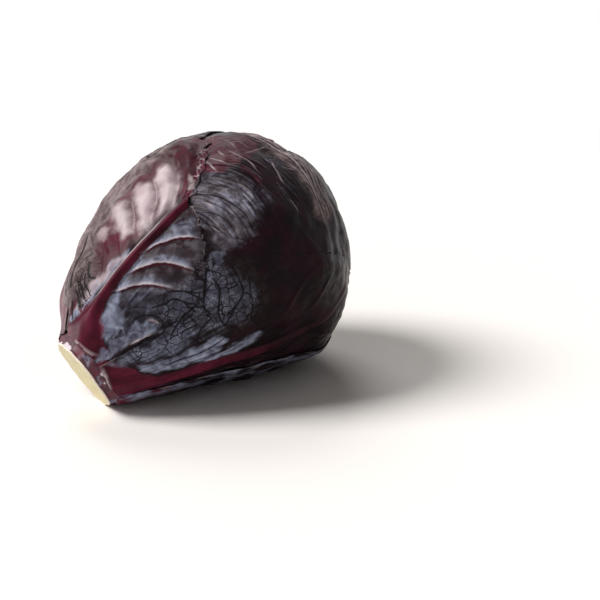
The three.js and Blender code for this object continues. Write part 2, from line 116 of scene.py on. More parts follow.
# Wrapper leaves from the innermost to the outermost, with the headings and margins of the CAD's leaves. One
# has either the arc of its foot and an outline, or the half width and reach of a round lobe. Its fine stretch
# is a range of u and one of v on its flat chart.
WRAPPERS = [
    {"name": "wrapper_leaf_1", "heading": 270, "base": 16, "width": 92, "reach": 128, "phase": 0.4,
     "spacing": 1.1},
    {"name": "wrapper_leaf_2", "heading": 133, "base": 15.8, "width": 98, "reach": 99, "phase": 1.9,
     "spacing": 0.62, "fine": ((44, 90), (-82, -46))},
    {
        "name": "wrapper_leaf_3", "heading": 6, "base": 15.4, "arc": (42, -34),
        "spacing": SHOWN_SPACING, "fine": ((-25, 52), (-14, 62)),
        "outline": [
            (30, 58), (50, 82), (75, 92), (100, 92), (118, 82), (128, 64), (132, 45), (137, 26), (139, 5),
            (137, -15), (131, -35), (118, -50), (100, -62), (75, -70), (50, -64), (30, -50),
        ],
    },
    {"name": "wrapper_leaf_4", "heading": 218, "base": 14.8, "width": 86, "reach": 76, "phase": 4.4,
     "spacing": 0.95},
    {
        "name": "wrapper_leaf_5", "heading": 95, "base": 14.2, "arc": (128, 60),
        "spacing": SHOWN_SPACING, "fine": ((-84, 22), (-64, 22)),
        "outline": [
            (30, 138), (50, 158), (75, 165), (100, 160), (120, 148), (131, 128), (132, 108), (124, 92),
            (108, 78), (92, 68), (84, 56), (78, 45), (66, 36), (50, 32), (34, 38),
        ],
    },
    {"name": "wrapper_leaf_6", "heading": 305, "base": 14.6, "width": 84, "reach": 52, "phase": 0.9,
     "right": 50},
    {
        "name": "wrapper_leaf_7", "heading": 170, "base": 14.3, "arc": (202, 116),
        "outline": [
            (30, 222), (50, 240), (75, 246), (98, 240), (116, 226), (126, 206), (129, 186), (126, 165),
            (118, 148), (104, 136), (86, 128), (66, 122), (46, 116), (30, 112),
        ],
    },
    {
        "name": "wrapper_leaf_8", "heading": 28, "base": 14.6, "arc": (62, -4),
        "spacing": FRONT_SPACING, "torn": TORN_MARGIN,
        "outline": [
            (30, 62.5), (45, 64), (54, 63.5), (59, 60), (63, 54.5), (66.5, 50), (70.5, 44), (75, 36),
            (77.5, 30), (79.5, 25.5), (86, 23), (93.5, 19), (102, 12), (110, 0), (105, -10), (97, -17),
            (87, -27), (77, -34), (65, -38), (52, -40), (40, -42), (30, -38), (22, -21),
        ],
    },
]


def centre_of_head():
    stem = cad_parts["stem"].data
    points = np.empty(len(stem.vertices) * 3)
    stem.vertices.foreach_get("co", points)
    points = points.reshape(-1, 3) / MM
    tip = points[np.argmax(points @ AXIS)]
    return tip + AXIS * (CENTRE_HEIGHT - CORE_TIP_HEIGHT)


CENTRE = centre_of_head()


# ---------------------------------------------------------------- curves and the head's outline


def curve_through(points):
    """A smooth curve through (x, y) points, level beyond its ends."""
    xs, ys = np.array(points, float).T
    before = np.maximum(np.arange(len(xs)) - 1, 0)
    after = np.minimum(np.arange(len(xs)) + 1, len(xs) - 1)
    slopes = (ys[after] - ys[before]) / (xs[after] - xs[before])

    def at(x):
        x = np.clip(x, xs[0], xs[-1])
        i = np.clip(np.searchsorted(xs, x, side="right") - 1, 0, len(xs) - 2)
        span = xs[i + 1] - xs[i]
        rise = ys[i + 1] - ys[i]
        t = (x - xs[i]) / span
        a = slopes[i] * span - rise
        b = rise - slopes[i + 1] * span
        return (1 - t) * ys[i] + t * ys[i + 1] + t * (1 - t) * (a * (1 - t) + b * t)

    return at


def smoothstep(value, low, high):
    """0 below low, 1 above high and smooth between them."""
    t = np.clip((value - low) / (high - low), 0, 1)
    return t * t * (3 - 2 * t)


def spline(points, step):
    """A Catmull-Rom curve through points, sampled about every step."""
    points = np.array(points, float)
    ends = np.vstack([points[:1], points, points[-1:]])
    pieces = []
    for p0, p1, p2, p3 in zip(ends[:-3], ends[1:-2], ends[2:-1], ends[3:]):
        count = max(int(np.linalg.norm(p2 - p1) / step), 1)
        t = (np.arange(count) / count)[:, None]
        out = (p2 - p0) / 2
        back = (p3 - p1) / 2
        pieces.append(
            (2 * t**3 - 3 * t**2 + 1) * p1 + (t**3 - 2 * t**2 + t) * out
            + (3 * t**2 - 2 * t**3) * p2 + (t**3 - t**2) * back
        )
    return np.vstack(pieces + [points[-1:]])


def from_centre(outline):
    """An outline of heights and radii as the distance from the head's centre, by polar angle."""
    return curve_through([
        (math.degrees(math.atan2(radius, CENTRE_HEIGHT - height)), math.hypot(radius, CENTRE_HEIGHT - height))
        for height, radius in outline
    ])


def head_reach(polar, around):
    """Distance of the whole head's outside from its centre."""
    from_underside = np.abs(np.mod(around, 360) - 180)
    underside = 1 - smoothstep(from_underside, UNDERSIDE_HALF_ANGLE, UNDERSIDE_FADE_ANGLE)
    crown = from_centre(HEAD_OUTLINE)(polar)
    far_side = (1 - np.cos(np.radians(around - CUT_NEAR_SIDE))) / 2
    neck = NECK_DEPTH * far_side * (1 - smoothstep(polar, *NECK_FADE))
    layers = smoothstep(polar, *LAYERED_START) * (1 - smoothstep(polar, *LAYERED_END))
    layers = LAYERED_RISE * layers * smoothstep(np.cos(np.radians(around - LAYERED_SIDE)), 0.3, 0.9)
    return crown + (from_centre(UNDERSIDE_OUTLINE)(polar) - crown) * underside - neck + layers


def direction(polar, around):
    """Unit vectors in the head's own directions: its top side, its side and its axis."""
    p = np.radians(polar)
    a = np.radians(around)
    return np.stack([np.sin(p) * np.cos(a), np.sin(p) * np.sin(a), -np.cos(p) + 0 * a], -1)


def polar_of(towards):
    return np.degrees(np.arccos(np.clip(-towards[..., 2], -1, 1)))


def around_of(towards):
    return np.degrees(np.arctan2(towards[..., 1], towards[..., 0]))


def turned(local):
    """From the head's own directions to the part's."""
    side = np.zeros_like(local)
    side[..., 1] = -local[..., 1]
    return side + local[..., :1] * TOP_SIDE + local[..., 2:] * AXIS


# ---------------------------------------------------------------- tables over the head, one value a degree

POLARS = np.arange(181.0)
LATTICE_POLAR, LATTICE_AROUND = np.meshgrid(POLARS, np.arange(360.0), indexing="ij")
SINES = np.maximum(np.sin(np.radians(POLARS)), 0.02)


def across_poles(table, rows):
    """The table with that many rows more at each end, taken from the other side of the axis."""
    first = np.roll(table[1 : rows + 1][::-1], 180, axis=1)
    last = np.roll(table[-rows - 1 : -1][::-1], 180, axis=1)
    return np.vstack([first, table, last])


def blurred(table, spread):
    """The table smoothed over that many degrees, as much around the axis as along it."""
    waves = np.arange(181)
    fade = np.exp(-2 * (np.pi * waves[None] / 360 * (spread / SINES)[:, None]) ** 2)
    around = np.fft.irfft(np.fft.rfft(table, axis=1) * fade, n=360, axis=1)
    rows = math.ceil(3 * spread)
    kernel = np.exp(-((np.arange(-rows, rows + 1) / spread) ** 2) / 2)
    kernel /= kernel.sum()
    padded = across_poles(around, rows)
    return sum(weight * padded[k : k + 181] for k, weight in enumerate(kernel))


def widened(table, reach):
    """The highest value within reach degrees."""
    wide = np.minimum(np.round(reach / SINES), 180)
    around = table.copy()
    for k in range(1, int(wide.max()) + 1):
        rows = wide >= k
        for turn in (-k, k):
            around[rows] = np.maximum(around[rows], np.roll(table[rows], turn, axis=1))
    padded = across_poles(around, reach)
    return np.max([padded[k : k + 181] for k in range(2 * reach + 1)], axis=0)


def look_up(table, polar, around):
    """Smooth values between the table's degrees."""
    x = np.clip(polar, 0, 179.999)
    y = np.mod(around, 360)
    i = np.floor(x).astype(int)
    j = np.floor(y).astype(int)

    def weights(t):
        return [
            (-t + 2 * t**2 - t**3) / 2, (2 - 5 * t**2 + 3 * t**3) / 2,
            (t + 4 * t**2 - 3 * t**3) / 2, (t**3 - t**2) / 2,
        ]

    total = 0
    for a, down in enumerate(weights(x - i)):
        row = np.clip(i + a - 1, 0, 180)
        for b, along in enumerate(weights(y - j)):
            total = total + down * along * table[row, (j + b - 1) % 360]
    return total


# ---------------------------------------------------------------- noise


def ripples(points, wavelength, seed, count=10):
    """Smooth noise of about unit height: plane waves of many directions."""
    random = np.random.default_rng(seed)
    total = 0
    for _ in range(count):
        heading = random.normal(size=points.shape[-1])
        heading /= np.linalg.norm(heading)
        length = wavelength * random.uniform(0.75, 1.35)
        total = total + np.sin(points @ heading * (2 * np.pi / length) + random.uniform(0, 2 * np.pi))
    return total / math.sqrt(count / 2)


def summed_ripples(points, waves, seed=0):
    """Ripples of several (height, wavelength, first seed) added up."""
    return sum(height * ripples(points, wavelength, first + seed) for height, wavelength, first in waves)


def cells(points, size, seed):
    """Distance from each flat point to the nearest edge between irregular cells, in the points' unit."""
    random = np.random.default_rng(seed)
    spread = 64  # cells until the pattern repeats
    jitter = random.uniform(0.12, 0.88, (spread, spread, 2))
    place = points / size
    corner = np.floor(place).astype(int)
    seeds = []
    for du in range(-2, 3):
        for dv in range(-2, 3):
            cell = corner + (du, dv)
            seeds.append(cell + jitter[cell[:, 0] % spread, cell[:, 1] % spread])
    seeds = np.stack(seeds)
    away = np.linalg.norm(seeds - place, axis=-1)
    nearest = np.argmin(away, axis=0)
    first = seeds[nearest, np.arange(len(place))]
    edge = np.full(len(place), 9.0)
    for k, other in enumerate(seeds):
        between = other - first
        length = np.linalg.norm(between, axis=-1)
        apart = (first + other) / 2 - place
        distance = (apart * between).sum(-1) / np.maximum(length, 1e-6)
        edge = np.where(nearest == k, edge, np.minimum(edge, distance))
    return edge * size


# ---------------------------------------------------------------- leaves laid out flat


def travelled(line):
    """Length of a line of points up to each of them."""
    return np.concatenate([[0], np.cumsum(np.linalg.norm(np.diff(line, axis=0), axis=1))])


def nearest_on(points, line):
    """Distance from points to a line of points, how far along it the nearest place is, and on which side."""
    squares = (line**2).sum(axis=1)
    parts = np.array_split(points, len(points) // 20000 + 1)
    nearest = np.concatenate([np.argmin(squares - 2 * part @ line.T, axis=1) for part in parts])
    along = np.diff(line, axis=0)
    lengths = np.linalg.norm(along, axis=1)
    before = travelled(line)
    best = np.full(len(points), np.inf)
    share = np.zeros(len(points))
    side = np.zeros(len(points))
    for k in (np.maximum(nearest - 1, 0), np.minimum(nearest, len(along) - 1)):
        offset = points - line[k]
        t = np.clip((offset * along[k]).sum(axis=1) / np.maximum(lengths[k] ** 2, 1e-9), 0, 1)
        away = np.linalg.norm(offset - t[:, None] * along[k], axis=1)
        nearer = away < best
        best = np.where(nearer, away, best)
        share = np.where(nearer, (before[k] + t * lengths[k]) / before[-1], share)
        turn = along[k, 0] * offset[:, 1] - along[k, 1] * offset[:, 0]
        side = np.where(nearer, np.sign(turn), side)
    return best, share, side


def within(points, polygon):
    """Which flat points are inside a closed line."""
    order = np.argsort(points[:, 1])
    u, v = points[order].T
    odd = np.zeros(len(points), bool)
    for (au, av), (bu, bv) in zip(polygon, np.roll(polygon, -1, axis=0)):
        first, last = np.searchsorted(v, (min(av, bv), max(av, bv)))
        level = slice(first, last)
        if last > first:
            odd[level] ^= u[level] < (bu - au) * (v[level] - av) / (bv - av) + au
    result = np.empty(len(points), bool)
    result[order] = odd
    return result


# Unevenness of a leaf's margin, as ripples in degrees: of every leaf, of round lobes, of the torn stretch.
RAGGED_WAVES = ((0.22, 7, 500), (0.12, 2.4, 520))
LOBED_WAVES = ((0.9, 19, 560), (0.3, 6, 570))
TORN_WAVES = ((0.9, 5.2, 540), (0.4, 2.1, 541))


class LeafPlan:
    """A leaf laid out flat about a point on its midrib, in degrees: u runs along the rib, v to its right."""

    def __init__(self, leaf):
        self.leaf = leaf
        self.number = int(leaf["name"].split("_")[-1])
        self.spacing = leaf.get("spacing", SIDE_SPACING)
        self.centre = direction(SPREAD_ANGLE, leaf["heading"])
        self.forward = direction(SPREAD_ANGLE + 90, leaf["heading"])
        self.side = direction(90.0, leaf["heading"] + 90)
        half = ROUND_BASE_HALF_ARC
        arc = leaf.get("arc", (leaf["heading"] + half, leaf["heading"] - half))
        if "outline" in leaf:
            margin = self.flat(*np.array(leaf["outline"], float).T)
        else:
            margin = self.round_margin()
        corners = self.flat(np.full(2, leaf["base"]), np.array(arc, float))
        line = spline(np.vstack([corners[:1], margin, corners[1:]]), 0.3)
        across = np.gradient(line, axis=0)[:, ::-1] * (1, -1)
        across /= np.linalg.norm(across, axis=1)[:, None]
        self.margin = line + across * self.ragged(line)[:, None]
        foot = self.flat(np.full(60, leaf["base"]), np.linspace(arc[1], arc[0], 60))
        self.polygon = np.vstack([self.margin[:-1], foot])

    def ragged(self, line):
        """How far the margin strays outwards from its smooth line."""
        result = summed_ripples(line, RAGGED_WAVES, self.number)
        if "outline" not in self.leaf:
            result = result + summed_ripples(line, LOBED_WAVES, self.number)
        if "torn" in self.leaf:
            torn = spline(self.flat(*np.array(self.leaf["torn"], float).T), 1.0)
            near = np.exp(-((nearest_on(line, torn)[0] / 3) ** 2))
            uneven = 0.5 + 0.5 * smoothstep(ripples(line, 11, 543), -0.5, 0.8)
            result = result + near * uneven * summed_ripples(line, TORN_WAVES)
        return result

    def round_margin(self):
        """A lobe about the leaf's middle, with a slightly wavy margin."""
        leaf = self.leaf
        turn = np.radians(ROUND_LOBE_ANGLE * np.linspace(1, -1, 17))
        wave = 1 + 0.035 * np.sin(5 * turn + leaf["phase"])
        along = np.where(np.cos(turn) > 0, leaf["reach"], ROUND_LOBE_DEPTH)
        wide = np.where(turn > 0, leaf.get("right", leaf["width"]), leaf["width"])
        return np.stack([along * np.cos(turn) * wave, wide * np.sin(turn) * wave], -1)

    def flat(self, polar, around):
        """From polar angles and angles around the head to the leaf's flat chart."""
        towards = direction(polar, around)
        away = np.arccos(np.clip(towards @ self.centre, -1, 1))
        stretch = np.degrees(away) / np.maximum(np.sin(away), 1e-6)
        return np.stack([towards @ self.forward * stretch, towards @ self.side * stretch], -1)

    def towards(self, points):
        """From the flat chart to unit vectors from the head's centre."""
        length = np.linalg.norm(points, axis=-1)
        away = np.radians(length)
        share = np.sin(away) / np.maximum(length, 1e-9)
        return (
            np.cos(away)[:, None] * self.centre
            + (points[:, 0] * share)[:, None] * self.forward
            + (points[:, 1] * share)[:, None] * self.side
        )

    def inset(self, points):
        """Distance in from the margin, in degrees: negative outside the leaf."""
        away = nearest_on(points, self.margin)[0]
        return np.where(within(points, self.polygon), away, -away)


plans = [LeafPlan(leaf) for leaf in WRAPPERS]
lattice = np.stack([LATTICE_POLAR.ravel(), LATTICE_AROUND.ravel()], -1)


# ---------------------------------------------------------------- veins and marks, as (polar, around) places

# Where along its rib a leaf without a list of veins has its pairs of side veins, and how they run.
VEIN_SHARES = (0.06, 0.13, 0.21, 0.3, 0.4, 0.51, 0.62, 0.73, 0.84)
VEIN_STEP = 3.2
VEIN_HEADING = 60  # degrees from the rib at its foot
VEIN_HEADING_DROP = 22  # less at its tip

# How a vein stands up: its height, and how far it reaches towards the leaf's tip and back towards the stem.
SHINGLE = {"height": 1.7, "rise": 5.0, "fall": 1.1}
RIDGE = {"height": 0.9, "rise": 1.1, "fall": 0.9}
FOLD = {"height": 0.45, "rise": 2.6, "fall": 0.7}

# The front leaf's rib: its crest, and by polar angle how far it reaches to its left and right in millimetres.
# Left and right are as seen from outside with the stem below.
FRONT_RIB = [
    (15, 31), (19, 26.5), (22, 22.5), (26, 21), (33, 21.5), (42, 21.8), (52, 22.8), (62, 23.8), (72, 24.4),
    (80.5, 25),
]
FRONT_RIB_LEFT = [(15, 13), (20, 10), (24, 5.6), (30, 4), (45, 3.6), (62, 3.2), (80, 2.6)]
FRONT_RIB_RIGHT = [(15, 11), (19, 9), (22, 5.4), (27, 3.8), (40, 3.2), (60, 3), (80, 2.4)]
FRONT_VEINS = [
    (SHINGLE, [(34, 26), (36.5, 30), (40, 34), (44.5, 40.5), (48, 47.5), (50, 52)]),
    (SHINGLE, [(41.5, 26), (48, 31.5), (54, 38), (58.5, 46.5), (61.5, 53)]),
    (SHINGLE, [(51, 25.5), (56, 28), (60, 31), (64.5, 34), (68.5, 38.5), (71.5, 43)]),
    (FOLD, [(65, 26.5), (70, 28), (74, 29.8), (78, 31)]),
    (RIDGE, [(62, 20), (65, 16.5), (70, 14), (75.5, 9), (80, 1), (83, -6)]),
    (RIDGE, [(53.5, 18.5), (57, 13.5), (60, 9), (64, 4), (68.5, -3), (71, -8)]),
    (RIDGE, [(43.5, 17), (46.5, 12.5), (50, 7), (52.5, 1), (55.5, -6.5), (58, -14)]),
    (RIDGE, [(33, 15.5), (36, 11), (39, 5), (42, -4), (44, -14)]),
    (RIDGE, [(74, 21), (80, 17.8), (85, 14), (89.5, 8), (94, 0)]),
]
# The low leaf's rib.
LOW_RIB = [
    (15, 92), (20, 97), (25, 100.5), (35, 101.5), (44.5, 102), (54, 103), (63, 105), (75, 107), (100, 108),
    (120, 108),
]
LOW_RIB_LEFT = [(15, 8), (20, 6.5), (27, 5.4), (45, 5.4), (65, 4.6), (90, 3)]
LOW_RIB_RIGHT = [(15, 8), (20, 7), (30, 5.6), (45, 6), (65, 5), (90, 3)]
LOW_VEINS = [
    (FOLD, [(23, 84), (31.5, 86), (40, 87.5), (48.5, 87), (58, 84)]),
    (FOLD, [(29, 89.5), (38, 91), (47, 93), (55.5, 93), (66, 90)]),
    (FOLD, [(40, 94.5), (49, 96), (56, 97), (64, 97), (76, 94)]),
    (FOLD, [(24, 111), (31, 113), (42.5, 115.5), (53, 114), (62, 115.5), (74, 120)]),
    (FOLD, [(24, 118), (34, 121), (46, 124), (58, 127), (70, 132)]),
    (RIDGE, [(58, 99), (70, 96), (82, 90), (94, 84), (104, 82)]),
    (RIDGE, [(76, 103), (90, 98), (102, 93), (112, 90)]),
    (RIDGE, [(44, 106), (56, 113), (68, 123), (80, 136)]),
    (RIDGE, [(60, 108), (72, 114), (84, 123), (96, 134)]),
    (RIDGE, [(78, 109), (90, 113), (102, 120), (112, 130)]),
]
# The upper leaf's rib is hidden, and its folds fan out from there round the head.
UPPER_RIB = [(17, 6), (40, 5), (70, 4), (95, 6), (120, 10)]
UPPER_VEINS = [
    (FOLD, [(91, 21.5), (96.5, 25.5), (99.5, 34), (99, 42.5), (97, 45.5), (93, 51)]),
    (FOLD, [(81, 26), (85, 32), (87, 38.5), (88, 45), (88, 50.5), (86, 58)]),
    (FOLD, [(84, 24.5), (88.5, 32), (91, 40.5), (91, 50), (89, 58)]),
    (FOLD, [(77.5, 34.5), (80.5, 41), (81, 49), (80, 56)]),
    (FOLD, [(102.5, 24), (106, 34), (105, 41.5), (103, 48), (99, 56)]),
    (FOLD, [(96, 15.5), (100, 20), (104, 27), (108, 36), (108, 46)]),
    (FOLD, [(110, 20), (113, 28), (115, 36), (113.5, 43), (110, 54)]),
    (FOLD, [(120, 24), (119, 32), (117.5, 40), (116, 48.5), (112.5, 58)]),
    (FOLD, [(122.5, 34), (128, 44), (126, 56)]),
]

PLAIN_RIB = [(15, 7), (30, 5), (60, 3.6), (100, 2.4), (160, 1)]
PLAIN_RIB_STRENGTH = 1.0
FLOOR_LEAF_RIB_STRENGTH = 0.35
RIB_HEIGHT = curve_through([
    (15, 1.2), (20, 2.0), (26, 3.0), (40, 3.0), (65, 2.5), (80, 2.0), (100, 1.2), (170, 0.3),
])
# The leaves that show most: rib, its reach to the left and right, the share of its height, and side veins.
RIBS = {
    FRONT_LEAF: (FRONT_RIB, FRONT_RIB_LEFT, FRONT_RIB_RIGHT, 1.0, FRONT_VEINS),
    LOW_LEAF: (LOW_RIB, LOW_RIB_LEFT, LOW_RIB_RIGHT, 0.6, LOW_VEINS),
    UPPER_LEAF: (UPPER_RIB, PLAIN_RIB, PLAIN_RIB, 0.3, UPPER_VEINS),
}
# How crimson the veins' flanks are, by leaf, and how strong the fine folds and their painted shade are.
VEIN_COLORS = {FRONT_LEAF: 0.75, LOW_LEAF: 0.2}
STREAK_STRENGTHS = {UPPER_LEAF: 0.55, LOW_LEAF: 0.45, FLOOR_LEAF: 0.45, FRONT_LEAF: 0.1}

# Where the front leaf swells between its veins, and where its margin stands off the leaf below.
FRONT_PUFFS = [
    (30, 12), (45, 17), (60, 20), (74, 21), (82, 20), (94, 12), (104, 0), (100, -20), (80, -34), (50, -36),
    (30, -20),
]
LIFTED_MARGIN = [(20, 62), (25, 61), (30, 62.5), (35, 64.5)]
# How far the fine folds of the upper leaf bend towards its tip, by angle around the head.
FAN_BEND = curve_through([(0, -9), (12, -4), (20, 0), (26, 4.5), (34, 7.5), (42, 8), (60, 5), (80, 0)])

# A mark that is further from the middle of a leaf's chart than this many degrees is left out.
FARTHEST_MARK = 140
# Marks of the finish: closed areas with the reach of their soft edge, and lines with their half width, in
# millimetres, and with a strength.
RIGHT_LOBES = [
    (38, 25), (55, 26), (70, 27), (79, 28), (74, 38), (68, 48), (62, 55), (50, 54), (42, 44), (36, 33),
]
CRIMSON_AREAS = [
    ([(12, -12), (17, -8), (20, 2), (24, 9), (28, 15), (30, 22), (26, 28), (22.5, 36), (20, 45), (18, 54),
      (12, 58)], 1.6, 1.0),
    ([(110, -3), (113, 4), (104, 8), (95, 14.5), (86, 19.5), (79, 23), (77, 22.5), (82, 18.5), (88, 11.5),
      (94, 0), (101, -6)], 1.4, 1.0),
    ([(94, 16), (100, 9), (108, 4), (116, -2), (123, 2), (127, 11), (124, 20), (116, 24), (108, 25),
      (101, 25.5), (95, 22)], 2.6, 1.0),
    ([(12, 56), (17, 62), (20, 72), (24, 86), (28, 96), (28, 108), (22, 113), (12, 116)], 1.8, 1.0),
    ([(35, 12), (45, 15), (60, 18), (76, 19.5), (88, 12), (96, 0), (93, -7), (84, -8), (72, -10), (60, -11),
      (51, -11), (42, -8), (35, 2)], 5.0, 0.5),
    ([(46, 12), (43, 2), (46, -7), (51, -3), (52.5, 4), (50, 10)], 2.5, 0.75),
    ([(35, 12), (38, 2), (42, -4), (44, 4), (42, 13)], 2.5, 0.5),
    ([(72, -4), (76, -1), (80, -2), (84, -5), (79, -9), (74, -9)], 2.0, 0.6),
    ([(66, 6), (61, 10), (58, 14), (61, 13), (66, 9)], 1.6, 0.5),
    ([(17, -12), (22, -14), (25, -8), (22, -3), (18, -5)], 1.5, 0.7),
]
CRIMSON_LINES = [
    ([(105, 26), (107.5, 34), (106.5, 42)], 2.2, 0.5),
    ([(62, 17.5), (66.5, 14.5), (71.5, 11), (77, 5.5), (81, -2)], 0.9, 0.75),
    ([(54.5, 15.5), (59, 10), (64.5, 3), (69, -4)], 0.9, 0.7),
    ([(92, -5), (86, -2), (82, 0)], 1.6, 0.5),
]
# Pale marks, most of them painted highlights: the glossy swellings between the front leaf's veins lit from
# the upper left and the sheen on the slope beside its rib; the weaker ones near the stem are pale patches.
PALE_AND_HIGHLIGHT_AREAS = [
    ([(88, 3), (87, 9), (83, 14.5), (78.5, 18.5), (71, 20), (67, 18.3), (71.5, 13.5), (76.5, 9), (80.5, 2),
      (85, -1)], 5.6, 1.0),
    ([(77, -1), (75.5, 5), (70.5, 11.5), (65, 16.5), (59.5, 19), (58.5, 14), (62.5, 8), (66.5, 1.5),
      (70, -4), (74, -5)], 5.2, 1.0),
    ([(66, -5), (63, 1), (59, 7), (54.5, 12), (52, 8), (53.5, 0), (57, -7), (62, -10)], 5.2, 0.8),
    ([(54, -9), (53, -4), (49.5, -2), (46.5, -6), (49, -11)], 2.4, 0.5),
    ([(21, -2), (26, 8), (31, 13), (38, 16), (46, 17.5), (44, 14), (38, 11), (32, 6), (27, -1), (23, -8)],
      2.2, 0.6),
    ([(12, -4), (15, -7), (19, -16), (24, -22), (32, -36), (40, -42), (36, -58), (22, -66), (12, -55)], 2.0,
      0.34),
    ([(12, -14), (16, -12), (18, -2), (20, 8), (18, 16), (13, 20)], 2.0, 0.24),
    ([(91, 14), (89, 19), (85, 22), (83, 20.5), (87, 17)], 1.0, 0.55),
]
# Pale lines: painted highlights along the crest of the front rib and of its veins, and the pale torn, curled
# and layered edges and leaf foot.
PALE_AND_HIGHLIGHT_LINES = [
    ([(21, 1), (26, 8), (31, 12), (38, 14.5), (45, 16), (52, 17)], 1.3, 0.55),
    ([(20, 3), (26, 12.5), (33, 17), (42, 18.3), (52, 19.8), (62, 20.8), (72, 21.6), (81, 22.6)], 0.55,
      0.75),
    ([(66, 15.5), (70.5, 12.2), (76, 7), (80.3, -1)], 0.45, 0.8),
    ([(56.5, 12.5), (60, 7.3), (64.5, 1.5), (68.5, -5)], 0.45, 0.6),
    ([(107.5, 12), (106, 18.5)], 0.4, 0.8),
    ([(110.5, 12.5), (110.5, 22), (111.5, 28), (110, 36.5)], 0.45, 0.7),
    ([(101.5, 11), (102.5, 19), (103.5, 24.5)], 0.5, 0.8),
    ([(98.5, 11), (98.5, 17), (97, 24)], 0.5, 0.9),
    ([(110.5, 22), (117.5, 22), (126, 20.5), (133.5, 19)], 0.5, 0.55),
    ([(116, 4), (115, 12), (113, 18)], 0.4, 0.6),
    ([(120, 8), (119, 15), (121, 21)], 0.35, 0.5),
    ([(122, 30), (117.5, 40.5), (116, 46.5)], 0.45, 0.75),
    ([(112.5, 51.5), (111.5, 60)], 0.5, 0.5),
    ([(123, 35.5), (128, 44)], 0.4, 0.45),
    ([(98.5, 33), (100, 39), (98.5, 44)], 0.5, 0.45),
    ([(82.5, 28), (83.8, 32), (84, 37)], 0.7, 0.5),
    ([(77.5, 41), (79, 46.5)], 0.5, 0.6),
    ([(13.5, 60), (17, 63), (20, 62.5), (22, 61.5)], 0.4, 0.55),
    ([(26, 60), (30.5, 61.5), (34, 63), (36.5, 65)], 0.5, 0.7),
    ([(14.9, 6), (15.1, 20), (15.2, 32), (15.5, 44), (16.5, 54)], 0.45, 0.7),
    ([(15.2, 59), (14.6, 66), (14.3, 76), (14.2, 88), (14.2, 98)], 0.7, 0.8),
    ([(35.5, 54), (37.5, 58), (37.5, 61.5)], 0.8, 0.6),
]
# Bluish grey places: partly the waxy bloom, partly painted sheen, as beside the rib and on slopes facing the
# light.
BLOOM_AND_SHEEN_AREAS = [
    ([(14, 43), (16.5, 43), (19.5, 51), (18.5, 57), (15.5, 58), (14, 54)], 1.0, 0.85),
    ([(18.5, -4), (23, 7), (27, 12), (33, 16), (40, 17.6), (46, 18), (50, 17.5), (46, 14.5), (39, 12.5),
      (33, 10), (28, 5), (24, -2), (20, -10)], 1.3, 1.0),
    ([(20.5, 48), (23, 40), (26, 35), (30.5, 34.5), (32, 39), (30, 45), (25, 48)], 2.4, 0.85),
    ([(24, 46), (29, 33), (38, 30), (46, 36), (54, 46), (50, 56), (42, 58), (32, 54)], 5.0, 0.34),
    ([(17, 57.5), (21, 50), (27, 49), (33, 52), (37, 57), (38, 64), (32, 63), (25, 60)], 1.6, 0.62),
    ([(63, 52), (69, 58), (75, 66), (74, 78), (66, 84), (56, 82), (46, 80), (38, 75), (34, 67), (37, 58),
      (45, 51), (54, 50)], 6.0, 0.46),
    ([(22, 66), (30, 66), (38, 71), (44, 80), (36, 82), (28, 78)], 2.5, 0.6),
    ([(24, 80), (32, 82), (42, 84), (52, 83.5), (56, 88), (48, 93), (36, 93), (28, 90)], 1.8, 0.95),
    ([(44, 93.5), (52, 93.5), (62, 92), (70, 94), (62, 98), (52, 99), (45, 98)], 1.6, 0.8),
    ([(72, 64), (76, 68), (77, 76), (73, 80), (70, 74)], 3.4, 0.42),
    ([(60, 71), (66, 73), (70, 78), (66, 82), (60, 78)], 3.0, 0.42),
    ([(42, 67), (46, 70), (46, 76), (41, 75)], 1.5, 0.5),
    ([(66, 27), (72, 29), (76, 33), (70, 36), (64, 30)], 1.8, 0.55),
    ([(14, 112), (22, 114), (34, 118), (46, 122), (44, 130), (30, 128), (16, 122)], 1.6, 0.6),
    ([(76, 52), (70, 49), (66, 52), (64, 56), (68, 57)], 1.2, 0.5),
    ([(21, 38), (24, 32), (29, 27.5), (35, 25), (43, 24), (52, 23), (52, 26), (43, 28), (36, 30.5),
      (31, 34.5), (27, 39), (23, 43)], 2.6, 0.85),
    (RIGHT_LOBES, 3.0, 0.22),
    ([(16, 64), (22, 63.5), (30, 66), (38, 68), (44, 74), (38, 80), (29, 79), (20, 72)], 2.6, 0.72),
    ([(78.5, 26), (85, 21.5), (92, 20), (98, 24), (103, 32), (103, 40), (100, 47), (93, 53), (85, 55),
      (77, 54), (73, 49), (76, 40), (79.5, 33)], 7.0, 0.4),
]
